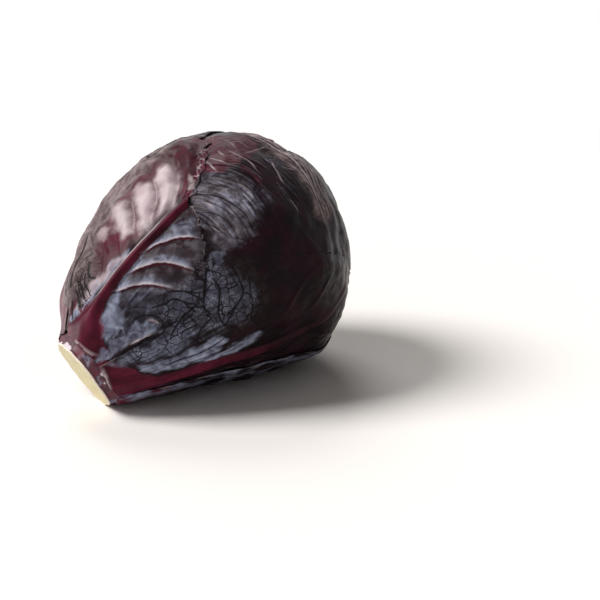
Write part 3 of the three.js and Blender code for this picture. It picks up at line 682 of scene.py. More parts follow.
# Painted bluish highlights on the slopes that rise to two of the front leaf's veins.
BLUISH_HIGHLIGHT_LINES = [
    ([(41, 32), (46, 37), (50, 42)], 1.6, 0.6),
    ([(49, 29), (54.5, 34), (58, 39.5), (61, 46)], 1.4, 0.6),
]
DRY_AREAS = [
    (RIGHT_LOBES, 3.0, 0.32),
    ([(62, 52), (74, 54), (82, 64), (80, 80), (70, 88), (56, 86), (46, 80), (46, 64), (52, 54)], 6.0, 0.2),
    ([(20, -8), (27, 10), (36, 14.5), (50, 17), (62, 19.5), (74, 20.5), (81, 18), (87, 11.5), (94, 0),
      (99, -9), (94, -22), (80, -34), (60, -42), (40, -48), (26, -34), (20, -20)], 2.5, 0.6),
    ([(93, -14), (89, -8), (83, -5.5), (77, -7.5), (71, -9.5), (65, -10), (59, -9), (53, -12), (47, -13),
      (42, -18), (44, -32), (58, -34), (74, -32), (88, -26)], 2.4, 0.8),
    ([(91, -15), (98, -18), (106, -16), (114, -9), (120, -2), (116, 0), (108, -5), (101, -9), (95, -9)],
      1.6, 0.85),
    ([(78.5, 26), (85, 21.5), (92, 21.5), (98, 27), (102.5, 32), (101.5, 40), (98, 46), (92, 52),
      (85, 53.5), (77, 53), (73, 48), (76, 40), (79.5, 33)], 6.0, 0.5),
    ([(124, -8), (128, 2), (128, 19), (127, 34), (126, 46), (123, 58), (119, 68), (130, 72), (139, 62),
      (144, 40), (145, 20), (141, 4), (133, -10)], 4.5, 0.9),
    ([(28, -2), (33, 4), (39, 6), (40, -6), (36, -16), (29, -16)], 2.5, 0.6),
]
# Dark lines: partly the network of sunken fine veins, partly painted shade in creases and in the gaps under
# lifted, rolled and layered margins.
DARK_AND_SHADE_LINES = [
    ([(48, -20), (43, -19.5), (38, -19.5), (33, -18), (29, -16)], 0.75, 0.95),
    ([(59, -23.5), (65, -25), (71, -25.5)], 0.5, 0.8),
    ([(77, -26), (84, -24), (91, -20.5), (95, -17), (99, -10), (103, -8), (109, -6), (113, -4)], 0.6, 0.9),
    ([(64.5, 53), (59.5, 59.5), (54.5, 67), (55.5, 72.5)], 0.6, 1.0),
    ([(64, 58.5), (63.5, 64.5), (58, 73.5), (57.5, 79.5)], 0.55, 1.0),
    ([(58, 73.5), (55, 73.5), (48, 77), (45.5, 80)], 0.5, 0.9),
    ([(73.5, 60), (71, 71.5), (65, 75.5), (57.5, 80.5)], 0.55, 1.0),
    ([(71, 71.5), (73, 75.5), (70.5, 81), (66.5, 86)], 0.5, 0.9),
    ([(77, 67), (72.5, 75.5)], 0.5, 0.8),
    ([(70, 81), (74.5, 81)], 0.5, 0.7),
    ([(39.5, 51), (44, 54), (47, 54.5), (49.5, 59), (50, 63.5), (50.5, 66.5)], 0.5, 1.0),
    ([(37.5, 72.5), (40, 69), (45.5, 65.5), (50.5, 64.5)], 0.5, 0.9),
    ([(41, 76), (43, 72), (48.5, 73.5)], 0.45, 0.8),
    ([(32, 38), (39.5, 51.5)], 0.4, 0.5),
    ([(29.5, 49.5), (33, 49.5), (37.5, 53.5), (39.5, 59.5), (38.5, 63.5)], 0.45, 0.8),
    ([(47, 50), (52, 55), (55, 62), (54.5, 67)], 0.5, 0.9),
    ([(50, 63.5), (54.5, 67)], 0.45, 0.8),
    ([(81, 24), (77.5, 31), (73, 39.5), (69, 46), (64, 53.5)], 0.4, 0.35),
    ([(31.5, 86), (44.5, 88.3), (50, 87.8), (58, 86)], 0.4, 0.85),
    ([(36, 90.5), (47, 93.6), (55.5, 93.4), (66, 91)], 0.4, 0.85),
    ([(96.5, 24.5), (100.5, 33), (100.5, 42), (98, 47)], 0.5, 0.5),
    ([(92.5, 24), (94.5, 31), (96.5, 38), (96, 46), (93, 52)], 0.55, 0.6),
    ([(84.5, 26), (88, 31.5), (90.5, 38), (91.5, 46), (90, 53)], 0.6, 0.65),
    ([(80.5, 26), (84.5, 32), (86.5, 38.5), (87.5, 45), (87, 51)], 0.45, 0.5),
    ([(78, 32), (82, 37), (84, 44), (83.5, 51)], 0.45, 0.6),
    ([(76.5, 37), (79, 43), (79.5, 50)], 0.4, 0.6),
    ([(104, 25), (108, 35), (107.5, 44), (104, 50)], 0.5, 0.6),
    ([(31, -9), (30, -3), (27, 1), (26, 7)], 0.8, 1.0),
    ([(34, -4), (31, 0), (29.5, 5), (28, 9)], 0.6, 1.0),
    ([(27.5, -9), (25, -4), (23.5, 0), (24, 5)], 0.9, 1.0),
    ([(38, -8), (35, -3), (33.5, 2), (34, 7)], 0.6, 0.9),
    ([(32, -6), (28, -5), (26, -1), (22.5, 1)], 0.6, 0.9),
    ([(45, -4), (41, 1), (38, 6), (35, 9)], 0.45, 0.7),
    ([(41.5, -10), (39, -14), (36, -15)], 0.6, 0.6),
    ([(24, -12), (21, -9), (19, -4)], 0.9, 0.7),
    ([(104, -15), (98, -17), (92.5, -18), (90, -14), (97, -12), (104, -10), (112, -6)], 0.6, 0.95),
    ([(88, -20), (80, -23), (72, -24)], 0.6, 0.6),
    ([(19.5, 62), (22.5, 63), (25.5, 63), (29, 64.2)], 0.75, 1.0),
    ([(31, 65.2), (34, 66), (36.5, 66.8)], 0.6, 1.0),
    ([(82, 17.5), (86.5, 12), (90.5, 5), (94.5, -2)], 0.5, 0.4),
]
# The edges of the leaves that show in layers at the head's far end, one behind the other: pale edges, each
# beside a dark line of painted shade in the gap.
LAYERED_EDGE = [(124, -10), (129, 10), (131, 25), (131, 40), (127, 55), (121, 70)]
for shift in (0, 2.6, 5.4, 8.4, 11.6):
    DARK_AND_SHADE_LINES.append(([(polar + shift, around) for polar, around in LAYERED_EDGE], 0.4, 0.95))
    PALE_AND_HIGHLIGHT_LINES.append(([(polar + shift + 1.3, around) for polar, around in LAYERED_EDGE], 0.7, 0.62))
# Painted shade: darker patches under the veins, beside the rib's foot and by the slit, and a dimming of the
# brightly lit crimson stretch by the torn margin.
PAINTED_SHADE_AREAS = [
    ([(112, -3), (112, 5), (104, 9), (96, 15), (86, 20), (80, 22.5), (83, 18), (88, 11), (93, 2),
      (101, -5)], 2.0, 0.48),
    ([(96, 16), (102, 9), (110, 4), (118, -4), (128, 0), (132, 14), (126, 26), (112, 28), (100, 27)], 4.0,
      0.46),
    ([(27, 36), (33, 34), (38, 38), (38, 47), (33, 48), (28, 44)], 3.2, 0.5),
    ([(40, 41), (44, 46), (46, 52), (41, 50), (37, 46)], 2.6, 0.6),
    ([(47, 37), (51, 39), (56, 45), (58, 50), (54, 52), (49, 47), (45, 42)], 2.4, 0.62),
    ([(38, 30), (42, 28), (46, 30), (47, 35), (43, 36), (39, 34)], 2.2, 0.45),
    ([(48, 26.5), (52, 26), (57, 30), (59, 35), (55, 35), (50, 31)], 2.0, 0.45),
    ([(24, 47), (28, 47), (30, 50), (25, 52)], 1.5, 0.6),
    ([(58, 32), (63, 38), (66, 44), (62, 46), (58, 40)], 2.0, 0.5),
    ([(36, 62), (40, 61), (42, 65), (38, 67)], 1.4, 0.7),
    ([(28, 2), (25, 8), (22.5, 2), (24, -6), (28, -6)], 1.5, 0.55),
]
CRACKLE_AREAS = [
    ([(66, 46), (74, 56), (82, 66), (80, 84), (70, 90), (56, 86), (44, 83), (34, 80), (26, 72), (20, 64),
      (26, 63), (34, 62), (36, 52), (42, 48), (50, 50), (58, 50)], 4.0, 0.85),
    ([(22, -12), (28, -16), (36, -12), (42, -4), (36, 7), (28, 10), (23, 3)], 2.5, 0.8),
    ([(22, 64), (30, 68), (32, 80), (24, 76)], 2.0, 0.8),
]


def fan_of_veins(rib, seed):
    """Side veins of a leaf that has no list of its own: pairs that leave the rib and bend towards the tip."""
    veins = []
    lengths = travelled(rib)
    for k, share in enumerate(VEIN_SHARES):
        start_u = np.interp(share * lengths[-1], lengths, rib[:, 0])
        start_v = np.interp(share * lengths[-1], lengths, rib[:, 1])
        for side in (1, -1):
            chance = math.sin(12.9 * k + 3.1 * seed + 5 * side)
            heading = math.radians(VEIN_HEADING - VEIN_HEADING_DROP * share + 9 * chance)
            place = np.array([start_u + 2.5 * side * chance, start_v])
            line = [place]
            for step in range(int(20 + 6 * chance)):
                sway = 0.16 * math.sin(0.45 * step + 2.3 * k + side + seed)
                turn = heading * (1 - 0.018 * step) + sway
                place = place + VEIN_STEP * np.array([math.cos(turn), side * math.sin(turn)])
                line.append(place)
            veins.append((RIDGE, np.array(line)))
    return veins


def chart_line(plan, places):
    """A smooth line through places on the head, on the leaf's flat chart."""
    return spline(plan.flat(*np.array(places, float).T), 1.0)


def straight_rib(plan):
    """The slightly swaying rib of a leaf that has no list of its own."""
    leaf = plan.leaf
    last = leaf.get("reach", 30) - 14
    first = plan.flat(np.array(leaf["base"]), np.array(float(leaf["heading"])))[0]
    u = np.linspace(first, last, 40)
    sway = 1.6 * np.sin(u / 17 + leaf["heading"])
    return np.stack([u, sway * smoothstep(u, first, first + 30)], -1)


def near_mark(points, line, margin):
    """Which flat points may be within that many millimetres of a mark's line."""
    if np.linalg.norm(line, axis=1).max() > FARTHEST_MARK:
        return np.zeros(len(points), bool)
    margin = margin / MM_PER_DEGREE
    return np.all((points > line.min(axis=0) - margin) & (points < line.max(axis=0) + margin), axis=1)


def soft_line(plan, points, places, reach, ends=1.0):
    """1 on a line over the head, fading over its half width in millimetres, and less at its ends."""
    line = chart_line(plan, places)
    near = near_mark(points, line, 3 * reach)
    result = np.zeros(len(points))
    if near.any():
        away, share, _ = nearest_on(points[near], line)
        taper = ends + (1 - ends) * smoothstep(np.minimum(share, 1 - share), 0, 0.3)
        result[near] = taper * np.exp(-((away * MM_PER_DEGREE / reach) ** 2))
    return result


def soft_area(plan, points, places, reach):
    """1 inside a closed line over the head, fading over its edge."""
    line = chart_line(plan, places + places[:1])
    near = near_mark(points, line, reach)
    result = np.zeros(len(points))
    if near.any():
        part = points[near]
        away = nearest_on(part, line)[0] * MM_PER_DEGREE
        result[near] = smoothstep(np.where(within(part, line[:-1]), away, -away), -reach, reach)
    return result


def frayed(points):
    """Flat points shifted a little, which gives the areas drawn on them uneven edges."""
    coarse = np.stack([ripples(points, 7, 601), ripples(points, 7, 602)], -1)
    fine = np.stack([ripples(points, 2.4, 603), ripples(points, 2.4, 604)], -1)
    return points + 0.5 * coarse + 0.12 * fine


def painted(plan, points, uneven, areas, lines=(), ends=0.15):
    """The strongest of some soft areas and lines at flat points."""
    thinnest = THINNEST_LINE * plan.spacing * MM_PER_DEGREE
    result = np.zeros(len(points))
    for places, reach, strength in areas:
        result = np.maximum(result, strength * soft_area(plan, uneven, places, reach))
    for places, reach, strength in lines:
        result = np.maximum(result, strength * soft_line(plan, points, places, max(reach, thinnest), ends))
    return result


# Heights of a leaf's relief in millimetres, apart from its rib, its veins and its puffs.
SWAY_HEIGHT = 0.45
CREASE_HEIGHT = 0.13
WEB_HEIGHT = 0.1
STREAK_HEIGHT = 0.12
DARK_LINE_DEPTH = 0.3
CRUMPLE_HEIGHT = 0.6
LIFT_HEIGHT = 2.2
STREAK_WAVES = ((0.65, 2.6, 200), (0.45, 1.5, 300))


class Blade:
    """The veins, bulges, wrinkles and colour masks of one wrapper leaf."""

    def __init__(self, plan):
        self.plan = plan
        self.number = plan.number
        if self.number in RIBS:
            places, left, right, self.rib_strength, veins = RIBS[self.number]
            self.rib = chart_line(plan, places)
            self.veins = [(style, chart_line(plan, line)) for style, line in veins]
        else:
            left = right = PLAIN_RIB
            self.rib_strength = FLOOR_LEAF_RIB_STRENGTH if self.number == FLOOR_LEAF else PLAIN_RIB_STRENGTH
            self.rib = straight_rib(plan)
            self.veins = fan_of_veins(self.rib, self.number)
        self.vein_color = VEIN_COLORS.get(self.number, 0.4)
        self.left_width = curve_through(left)
        self.right_width = curve_through(right)

    def measure_veins(self, points):
        """Height of the veins in millimetres, distance to the nearest, and masks of their colour.

        The masks are the crimson flank, which on shingles is painted shade on the steep side, the pale crest,
        a painted highlight, and the bluish slope that rises to the crest, a painted sheen.
        """
        height = np.zeros(len(points))
        nearest = np.full(len(points), 60.0)
        flank = np.zeros(len(points))
        crest = np.zeros(len(points))
        slope = np.zeros(len(points))
        for style, line in self.veins:
            distance, along, hand = nearest_on(points, line)
            distance = distance * MM_PER_DEGREE
            towards_tip = hand * (line[-1, 1] - line[0, 1]) < 0
            taper = (0.45 + 0.55 * smoothstep(along, 0, 0.16)) * (1 - 0.75 * smoothstep(along, 0.72, 1))
            rise = np.exp(-((distance / style["rise"]) ** 1.4))
            fall = np.exp(-((distance / style["fall"]) ** 2))
            ridge = style["height"] * (0.5 + 0.5 * taper) * taper * np.where(towards_tip, rise, fall)
            height = np.maximum(height, ridge)
            nearest = np.minimum(nearest, distance)
            # On shingles: painted shade on the steep flank, a painted highlight on the crest and painted
            # sheen on the slope.
            if style is SHINGLE:
                foot = smoothstep(distance, 0.1, 0.6) * (1 - smoothstep(distance, 0.7, 1.7))
                flank = np.maximum(flank, 0.8 * taper * ~towards_tip * foot)
                crest = np.maximum(crest, taper * towards_tip * np.exp(-((distance / 1.3) ** 2)))
                slope = np.maximum(slope, taper * towards_tip * np.exp(-((distance / 4.8) ** 1.5)))
            elif style is RIDGE:
                flank = np.maximum(flank, self.vein_color * taper * np.exp(-((distance / 1.1) ** 2)))
            else:
                # Painted sheen on the side of a fold that rises towards the light.
                slope = np.maximum(slope, 0.35 * taper * towards_tip * np.exp(-distance / 1.8))
        return height, nearest, flank, crest, slope

    def measure(self, points, polar, around):
        """What the shape and the finish both need at flat points of the leaf."""
        away, share, side = nearest_on(points, self.rib)
        width = np.where(side > 0, self.right_width(polar), self.left_width(polar))
        rib = np.clip(away * MM_PER_DEGREE / width, 0, 9)
        rib = np.where(share >= 1, np.maximum(rib, 2), rib)
        height, vein, flank, crest, slope = self.measure_veins(points)
        warp = np.stack([ripples(points, 9, first + self.number) for first in (31, 57)], -1)
        torn = soft_line(self.plan, points, CRUMPLED_MARGIN, 1.9) * (1 if self.number == FRONT_LEAF else 0.7)
        found = {
            "rib": rib,
            "vein": vein,
            "vein_height": height,
            "net": cells(points + 0.9 * warp, 5.4, 90 + self.number) * MM_PER_DEGREE,
            "edge": self.plan.inset(points) * MM_PER_DEGREE,
            "torn": torn,
            "crumple": torn * (1 - smoothstep(np.abs(ripples(points, 3.4, 81)), 0.08, 0.5)),
            # Dark lines, partly painted shade in creases and gaps.
            "dark_lines_and_shade": painted(self.plan, points, points, [], DARK_AND_SHADE_LINES, 0.8),
            "streak": streaks(polar, around, self.number),
        }
        self.add_marks(found, points, polar, flank, crest, slope)
        if self.number == FRONT_LEAF:
            rim = 1 - smoothstep(found["edge"], 0.2, 1.0)
            rim = 0.6 * (rim * smoothstep(ripples(points, 4, 82), -0.9, 0.7))
            found["pale"] = np.maximum(found["pale"], rim * soft_line(self.plan, points, TORN_MARGIN, 4))
        if self.number not in RIBS:
            self.add_plain_bloom(found, points, polar)
        return found

    def add_marks(self, found, points, polar, flank, crest, slope):
        """The colour masks: the marks drawn on the head, and the colours of the rib and the veins, with
        painted highlights, sheen and shade among them.
        """
        plan = self.plan
        uneven = frayed(points)
        on_rib = self.on_rib(found)
        rib_color = 0.85 - 0.6 * smoothstep(polar, 35, 85)
        if self.number == FRONT_LEAF:
            rib_color = np.ones(len(points))
        crimson = painted(plan, points, uneven, CRIMSON_AREAS, CRIMSON_LINES)
        crimson = np.maximum(np.maximum(crimson, 0.85 * flank), on_rib * rib_color)
        found["crimson"] = np.maximum(crimson, 0.85 * found["torn"])
        # Pale marks and painted highlights, also on the vein crests, and the pale curls of the crumpled
        # margin.
        pale = np.maximum(painted(plan, points, uneven, PALE_AND_HIGHLIGHT_AREAS, PALE_AND_HIGHLIGHT_LINES), 0.7 * crest)
        found["pale"] = np.maximum(pale, 0.75 * found["crumple"])
        # The waxy bloom, with painted sheen where the marks and the vein slopes say.
        bloom_and_sheen = painted(plan, points, uneven, BLOOM_AND_SHEEN_AREAS, BLUISH_HIGHLIGHT_LINES)
        found["bloom_and_sheen"] = np.maximum(bloom_and_sheen, 0.9 * slope) * (1 - on_rib) * (1 - flank)
        found["dry"] = painted(plan, points, uneven, DRY_AREAS)
        # Painted shade.
        found["painted_shade"] = painted(plan, points, uneven, PAINTED_SHADE_AREAS)
        found["crackle"] = painted(plan, points, uneven, CRACKLE_AREAS)

    def add_plain_bloom(self, found, points, polar):
        """The bloom, the crimson foot and the dried rim of a leaf without a rib of its own."""
        floor_leaf = self.number == FLOOR_LEAF
        if floor_leaf:
            bloom = 0.8 * smoothstep(ripples(points, 15, 77), -1.2, 1.2)
        else:
            bloom = 0.28 * smoothstep(ripples(points, 34, 700 + self.number), -0.3, 1.8)
        found["bloom_and_sheen"] = np.maximum(found["bloom_and_sheen"], bloom * (1 - self.on_rib(found)))
        found["crimson"] = np.maximum(found["crimson"], 0.8 - 0.8 * smoothstep(polar, 16, 45))
        found["dry"] = found["dry"] * (0.15 if floor_leaf else 1)
        rim = 1 - smoothstep(found["edge"], 0.2, 1.5)
        rim = rim * smoothstep(ripples(points, 11, 84 + self.number), -0.4, 1)
        found["pale"] = np.maximum(found["pale"], 0.35 * rim)

    def on_rib(self, found):
        return 1 - smoothstep(found["rib"], 0.75, 1.1)

    def relief(self, points, towards, polar, found):
        """Height over the plain leaf, in millimetres."""
        rib = np.clip(found["rib"], 0, 1)
        crest = RIB_HEIGHT(polar) * self.rib_strength * (1 - rib**2) ** 1.5
        from_rib = smoothstep(found["rib"], 0.7, 2.2)
        sway = SWAY_HEIGHT * ripples(towards * LEAF_REACH, 26, 11 + self.number)
        crease = CREASE_HEIGHT * ripples(towards * LEAF_REACH, 7.5, 23 + self.number)
        web = WEB_HEIGHT * smoothstep(found["net"], 0, 1.5)
        folds = STREAK_HEIGHT * found["streak"]
        lamina = (found["vein_height"] + self.puffs(points, found) + crease + web + folds) * from_rib + sway
        lamina = lamina - DARK_LINE_DEPTH * found["dark_lines_and_shade"] * from_rib
        margin = smoothstep(found["edge"], 0, 6)
        height = crest + (lamina - 0.3) * (0.35 + 0.65 * margin) + CRUMPLE_HEIGHT * found["crumple"]
        if self.number == FRONT_LEAF:
            lift = soft_line(self.plan, points, LIFTED_MARGIN, 3.0) * smoothstep(4 - found["edge"], 0, 4)
            height = height + LIFT_HEIGHT * lift
        return height

    def puffs(self, points, found):
        """Bulges of the blade between its veins."""
        height = 1.2
        if self.number == FRONT_LEAF:
            height = 2.1 * soft_area(self.plan, points, FRONT_PUFFS, 4) + 0.15
        elif self.number in RIBS:
            height = 0.2
        return height * (1 - np.exp(-((found["vein"] / 4.4) ** 2)))


def streaks(polar, around, number):
    """Fine folds: round the head on the upper leaf, and from the stem towards the tip on the others."""
    turn = np.mod(around + 90, 360) - 90
    if number == UPPER_LEAF:
        across = (polar - FAN_BEND(turn)) * MM_PER_DEGREE
        along = turn * MM_PER_DEGREE
        fading = (0.25 + 0.75 * smoothstep(turn, 19, 30)) * (1 - 0.8 * smoothstep(turn, 46, 62))
        fading = np.maximum(fading, 2.4 * smoothstep(polar, 121, 130))
    else:
        across = turn * MM_PER_DEGREE * 0.8
        along = polar * MM_PER_DEGREE
        fading = 1 - 0.75 * smoothstep(polar, 45, 75)
    stretched = np.stack([across, along * 0.09], -1)
    fine = summed_ripples(stretched, STREAK_WAVES, number)
    return fine * fading * STREAK_STRENGTHS.get(number, 0.5)


blades = [Blade(plan) for plan in plans]


# ---------------------------------------------------------------- the stack of wrappers


def covered_by_later(index):
    """How far each place of a wrapper is covered by the wrappers over it, from 0 to 1."""
    cover = np.zeros(LATTICE_POLAR.shape)
    for later in range(index + 1, len(plans)):
        cover = np.maximum(cover, insides[later])
    return blurred(cover, 1.5)


insides = []
for plan in plans:
    flat = plan.flat(lattice[:, 0], lattice[:, 1])
    covered = within(flat, plan.polygon) & (lattice[:, 0] >= plan.leaf["base"])
    insides.append(covered.reshape(LATTICE_POLAR.shape).astype(float))


def outer_height(index, taut, polar, around, points):
    """A wrapper's outer face over the space inside the wrappers, and what was measured there."""
    blade = blades[index]
    towards = direction(polar, around)
    found = blade.measure(points, polar, around)
    hidden = look_up(covers[index], polar, around)
    relief = blade.relief(points, towards, polar, found) * (1 - 0.9 * smoothstep(hidden, 0.3, 0.95))
    bridged = look_up(taut, polar, around)
    pressed = 1 - smoothstep(found["edge"], 0.5, PRESSED_WIDTH)
    under = bridged + (np.minimum(look_up(beds[index], polar, around), bridged) - bridged) * pressed
    return under + LEAF_GAP + LEAF_THICKNESS + relief, found


covers = [covered_by_later(index) for index in range(len(plans))]
tauts = []
beds = []
stacked = np.zeros(LATTICE_POLAR.shape)
for index, plan in enumerate(plans):
    taut = np.maximum(stacked, blurred(widened(stacked, COVER_ANGLE), COVER_BLUR))
    tauts.append(taut)
    beds.append(blurred(stacked, BED_BLUR))
    here = insides[index].ravel() > 0
    points = plan.flat(lattice[here, 0], lattice[here, 1])
    top = stacked.ravel().copy()
    top[here] = outer_height(index, taut, lattice[here, 0], lattice[here, 1], points)[0]
    stacked = np.maximum(top.reshape(stacked.shape), stacked)

space = head_reach(LATTICE_POLAR, LATTICE_AROUND) - blurred(stacked, STACK_BLUR)
outermost = blurred(widened(stacked, 2), 1.2)


def placed(towards, reach):
    """Points that far from the head's centre, pressed flat where the head rests on the floor."""
    world = turned(towards)
    polar = polar_of(towards)
    around = around_of(towards)
    outside = look_up(space, polar, around) + look_up(outermost, polar, around)
    down = np.minimum(world[:, 2], -1e-6)
    floor = np.where(world[:, 2] < 0, CENTRE[2] / -down, np.inf)
    share = np.minimum(1, (floor + FLAT_ALLOWANCE) / outside)
    points = CENTRE + world * (reach * share)[:, None]
    points[:, 2] = np.maximum(points[:, 2], LEAST_HEIGHT)
    return points


# ---------------------------------------------------------------- pieces


# The masks that a leaf's material reads.
MASKS = ("crimson", "pale", "bloom_and_sheen", "dry", "painted_shade", "dark_lines_and_shade", "crackle", "streak")


def deselect_all():
    if bpy.context.mode != "OBJECT":
        bpy.ops.object.mode_set(mode="OBJECT")
    bpy.ops.object.select_all(action="DESELECT")


def coordinates(mesh):
    points = np.empty(len(mesh.vertices) * 3)
    mesh.vertices.foreach_get("co", points)
    return points.reshape(-1, 3)


def cut_to_margin(obj, plan, spacing):
    """Deletes the faces of a flat grid outside the leaf, and draws its edge onto the margin.

    Says where its vertices are on the leaf's chart.
    """
    mesh = obj.data
    points = coordinates(mesh)[:, [1, 0]]
    inset = plan.inset(points)
    corners = np.empty(len(mesh.polygons) * 4, int)
    mesh.polygons.foreach_get("vertices", corners)
    outside = inset[corners.reshape(-1, 4)].min(axis=1) < -0.5 * spacing
    mesh.vertices.foreach_set("select", np.zeros(len(mesh.vertices), bool))
    mesh.edges.foreach_set("select", np.zeros(len(mesh.edges), bool))
    mesh.polygons.foreach_set("select", outside)
    bpy.ops.object.mode_set(mode="EDIT")
    bpy.ops.mesh.select_mode(type="FACE")
    bpy.ops.mesh.delete(type="FACE")
    bpy.ops.mesh.select_mode(type="VERT")
    bpy.ops.mesh.select_all(action="SELECT")
    bpy.ops.mesh.region_to_loop()
    bpy.ops.object.mode_set(mode="OBJECT")
    edge = np.empty(len(mesh.vertices), bool)
    mesh.vertices.foreach_get("select", edge)
    points = coordinates(mesh)[:, [1, 0]]
    outline = np.vstack([plan.polygon, plan.polygon[:1]])
    points[edge] = nearest_place(points[edge], outline)
    return points


def nearest_place(points, line):
    """The places on a line of points that are nearest to some points."""
    along = travelled(line)
    place = nearest_on(points, line)[1] * along[-1]
    return np.stack([np.interp(place, along, line[:, 0]), np.interp(place, along, line[:, 1])], -1)


def graded(low, high, fine, spacing):
    """Places from low to high, close together within the fine stretch."""
    start, end = max(fine[0], low), min(fine[1], high)
    before = np.arange(low, start, COARSE_SPACING)
    after = np.arange(end, high + COARSE_SPACING, COARSE_SPACING)
    return np.concatenate([before, np.arange(start, end, spacing), after])


def add_grid(name, plan, spacing):
    """A flat grid over the leaf's chart, u along Y and v along X."""
    deselect_all()
    low = plan.polygon.min(axis=0) - spacing
    high = plan.polygon.max(axis=0) + spacing
    fine = plan.leaf.get("fine", tuple(zip(low, high)))
    along, across = (graded(low[k], high[k], fine[k], spacing) for k in (0, 1))
    bpy.ops.mesh.primitive_grid_add(x_subdivisions=len(across) - 1, y_subdivisions=len(along) - 1, size=1)
    obj = bpy.context.object
    obj.name = obj.data.name = name
    points = coordinates(obj.data)
    for k, places in ((0, across), (1, along)):
        points[:, k] = np.interp(points[:, k] + 0.5, np.linspace(0, 1, len(places)), places)
    obj.data.vertices.foreach_set("co", points.ravel())
    obj.data.update()
    return obj


def keep_attribute(mesh, name, values):
    attribute = mesh.attributes.new(name, "FLOAT", "POINT")
    attribute.data.foreach_set("value", np.asarray(values, np.float32))


def apply_modifier(obj, kind, **settings):
    modifier = obj.modifiers.new(kind.lower(), kind)
    for setting, value in settings.items():
        setattr(modifier, setting, value)
    bpy.context.view_layer.objects.active = obj
    bpy.ops.object.modifier_apply(modifier=modifier.name)


def finish_leaf(obj, node, material, thickness):
    apply_modifier(obj, "SOLIDIFY", thickness=thickness * MM, offset=-1)
    obj.data.polygons.foreach_set("use_smooth", np.ones(len(obj.data.polygons), bool))
    obj.data.materials.clear()
    obj.data.materials.append(material)
    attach(obj, "root")
    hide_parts(node)


def add_wrapper(index, material):
    plan = plans[index]
    name = plan.leaf["name"]
    obj = add_grid(name + "_blade", plan, plan.spacing)
    points = cut_to_margin(obj, plan, plan.spacing)
    towards = plan.towards(points)
    polar, around = polar_of(towards), around_of(towards)
    height, found = outer_height(index, tauts[index], polar, around, points)
    place = placed(towards, look_up(space, polar, around) + height)
    obj.data.vertices.foreach_set("co", (place * MM).ravel())
    for key in MASKS:
        keep_attribute(obj.data, key, found[key])
    obj.data.update()
    finish_leaf(obj, name, material, LEAF_THICKNESS)


# ---------------------------------------------------------------- materials


def srgb(text):
    """A colour written as six hexadecimal digits."""
    values = [int(text[k : k + 2], 16) / 255 for k in (0, 2, 4)]
    return [v / 12.92 if v <= 0.04045 else ((v + 0.055) / 1.055) ** 2.4 for v in values] + [1]


class Tree:
    """A node tree, written as calls."""

    def __init__(self, tree):
        self.tree = tree

    def add(self, kind, inputs=(), **settings):
        node = self.tree.nodes.new(kind)
        for setting, value in settings.items():
            setattr(node, setting, value)
        for key, value in dict(inputs).items():
            self.put(node.inputs[key], value)
        return node

    def put(self, socket, value):
        if isinstance(value, bpy.types.NodeSocket):
            self.tree.links.new(value, socket)
        else:
            socket.default_value = value

    def attribute(self, name):
        return self.add("ShaderNodeAttribute", attribute_name=name).outputs["Fac"]

    def steps(self, value, low, high, start=0.0, end=1.0):
        inputs = {"Value": value, "From Min": low, "From Max": high, "To Min": start, "To Max": end}
        return self.add("ShaderNodeMapRange", inputs, interpolation_type="SMOOTHSTEP").outputs["Result"]

    def math(self, operation, a, b=0.0):
        return self.add("ShaderNodeMath", {0: a, 1: b}, operation=operation).outputs[0]

    def mix(self, share, a, b, blend="MIX"):
        inputs = {0: share, 6: a, 7: b}
        return self.add("ShaderNodeMix", inputs, data_type="RGBA", blend_type=blend).outputs[2]

    def noise(self, scale, detail=3.0, roughness=0.55, distortion=0.0):
        place = self.add("ShaderNodeTexCoord").outputs["Object"]
        inputs = {"Vector": place, "Scale": scale, "Detail": detail, "Roughness": roughness}
        return self.add("ShaderNodeTexNoise", inputs | {"Distortion": distortion}).outputs["Fac"]

    def bump(self, height, strength, distance, normal=None):
        inputs = {"Height": height, "Strength": strength, "Distance": distance}
        if normal is not None:
            inputs["Normal"] = normal
        return self.add("ShaderNodeBump", inputs).outputs["Normal"]


class Nodes(Tree):
    """The node tree of a new material."""

    def __init__(self, name):
        self.material = bpy.data.materials.new(name)
        self.material.use_nodes = True
        super().__init__(self.material.node_tree)
        self.shader = self.tree.nodes["Principled BSDF"]


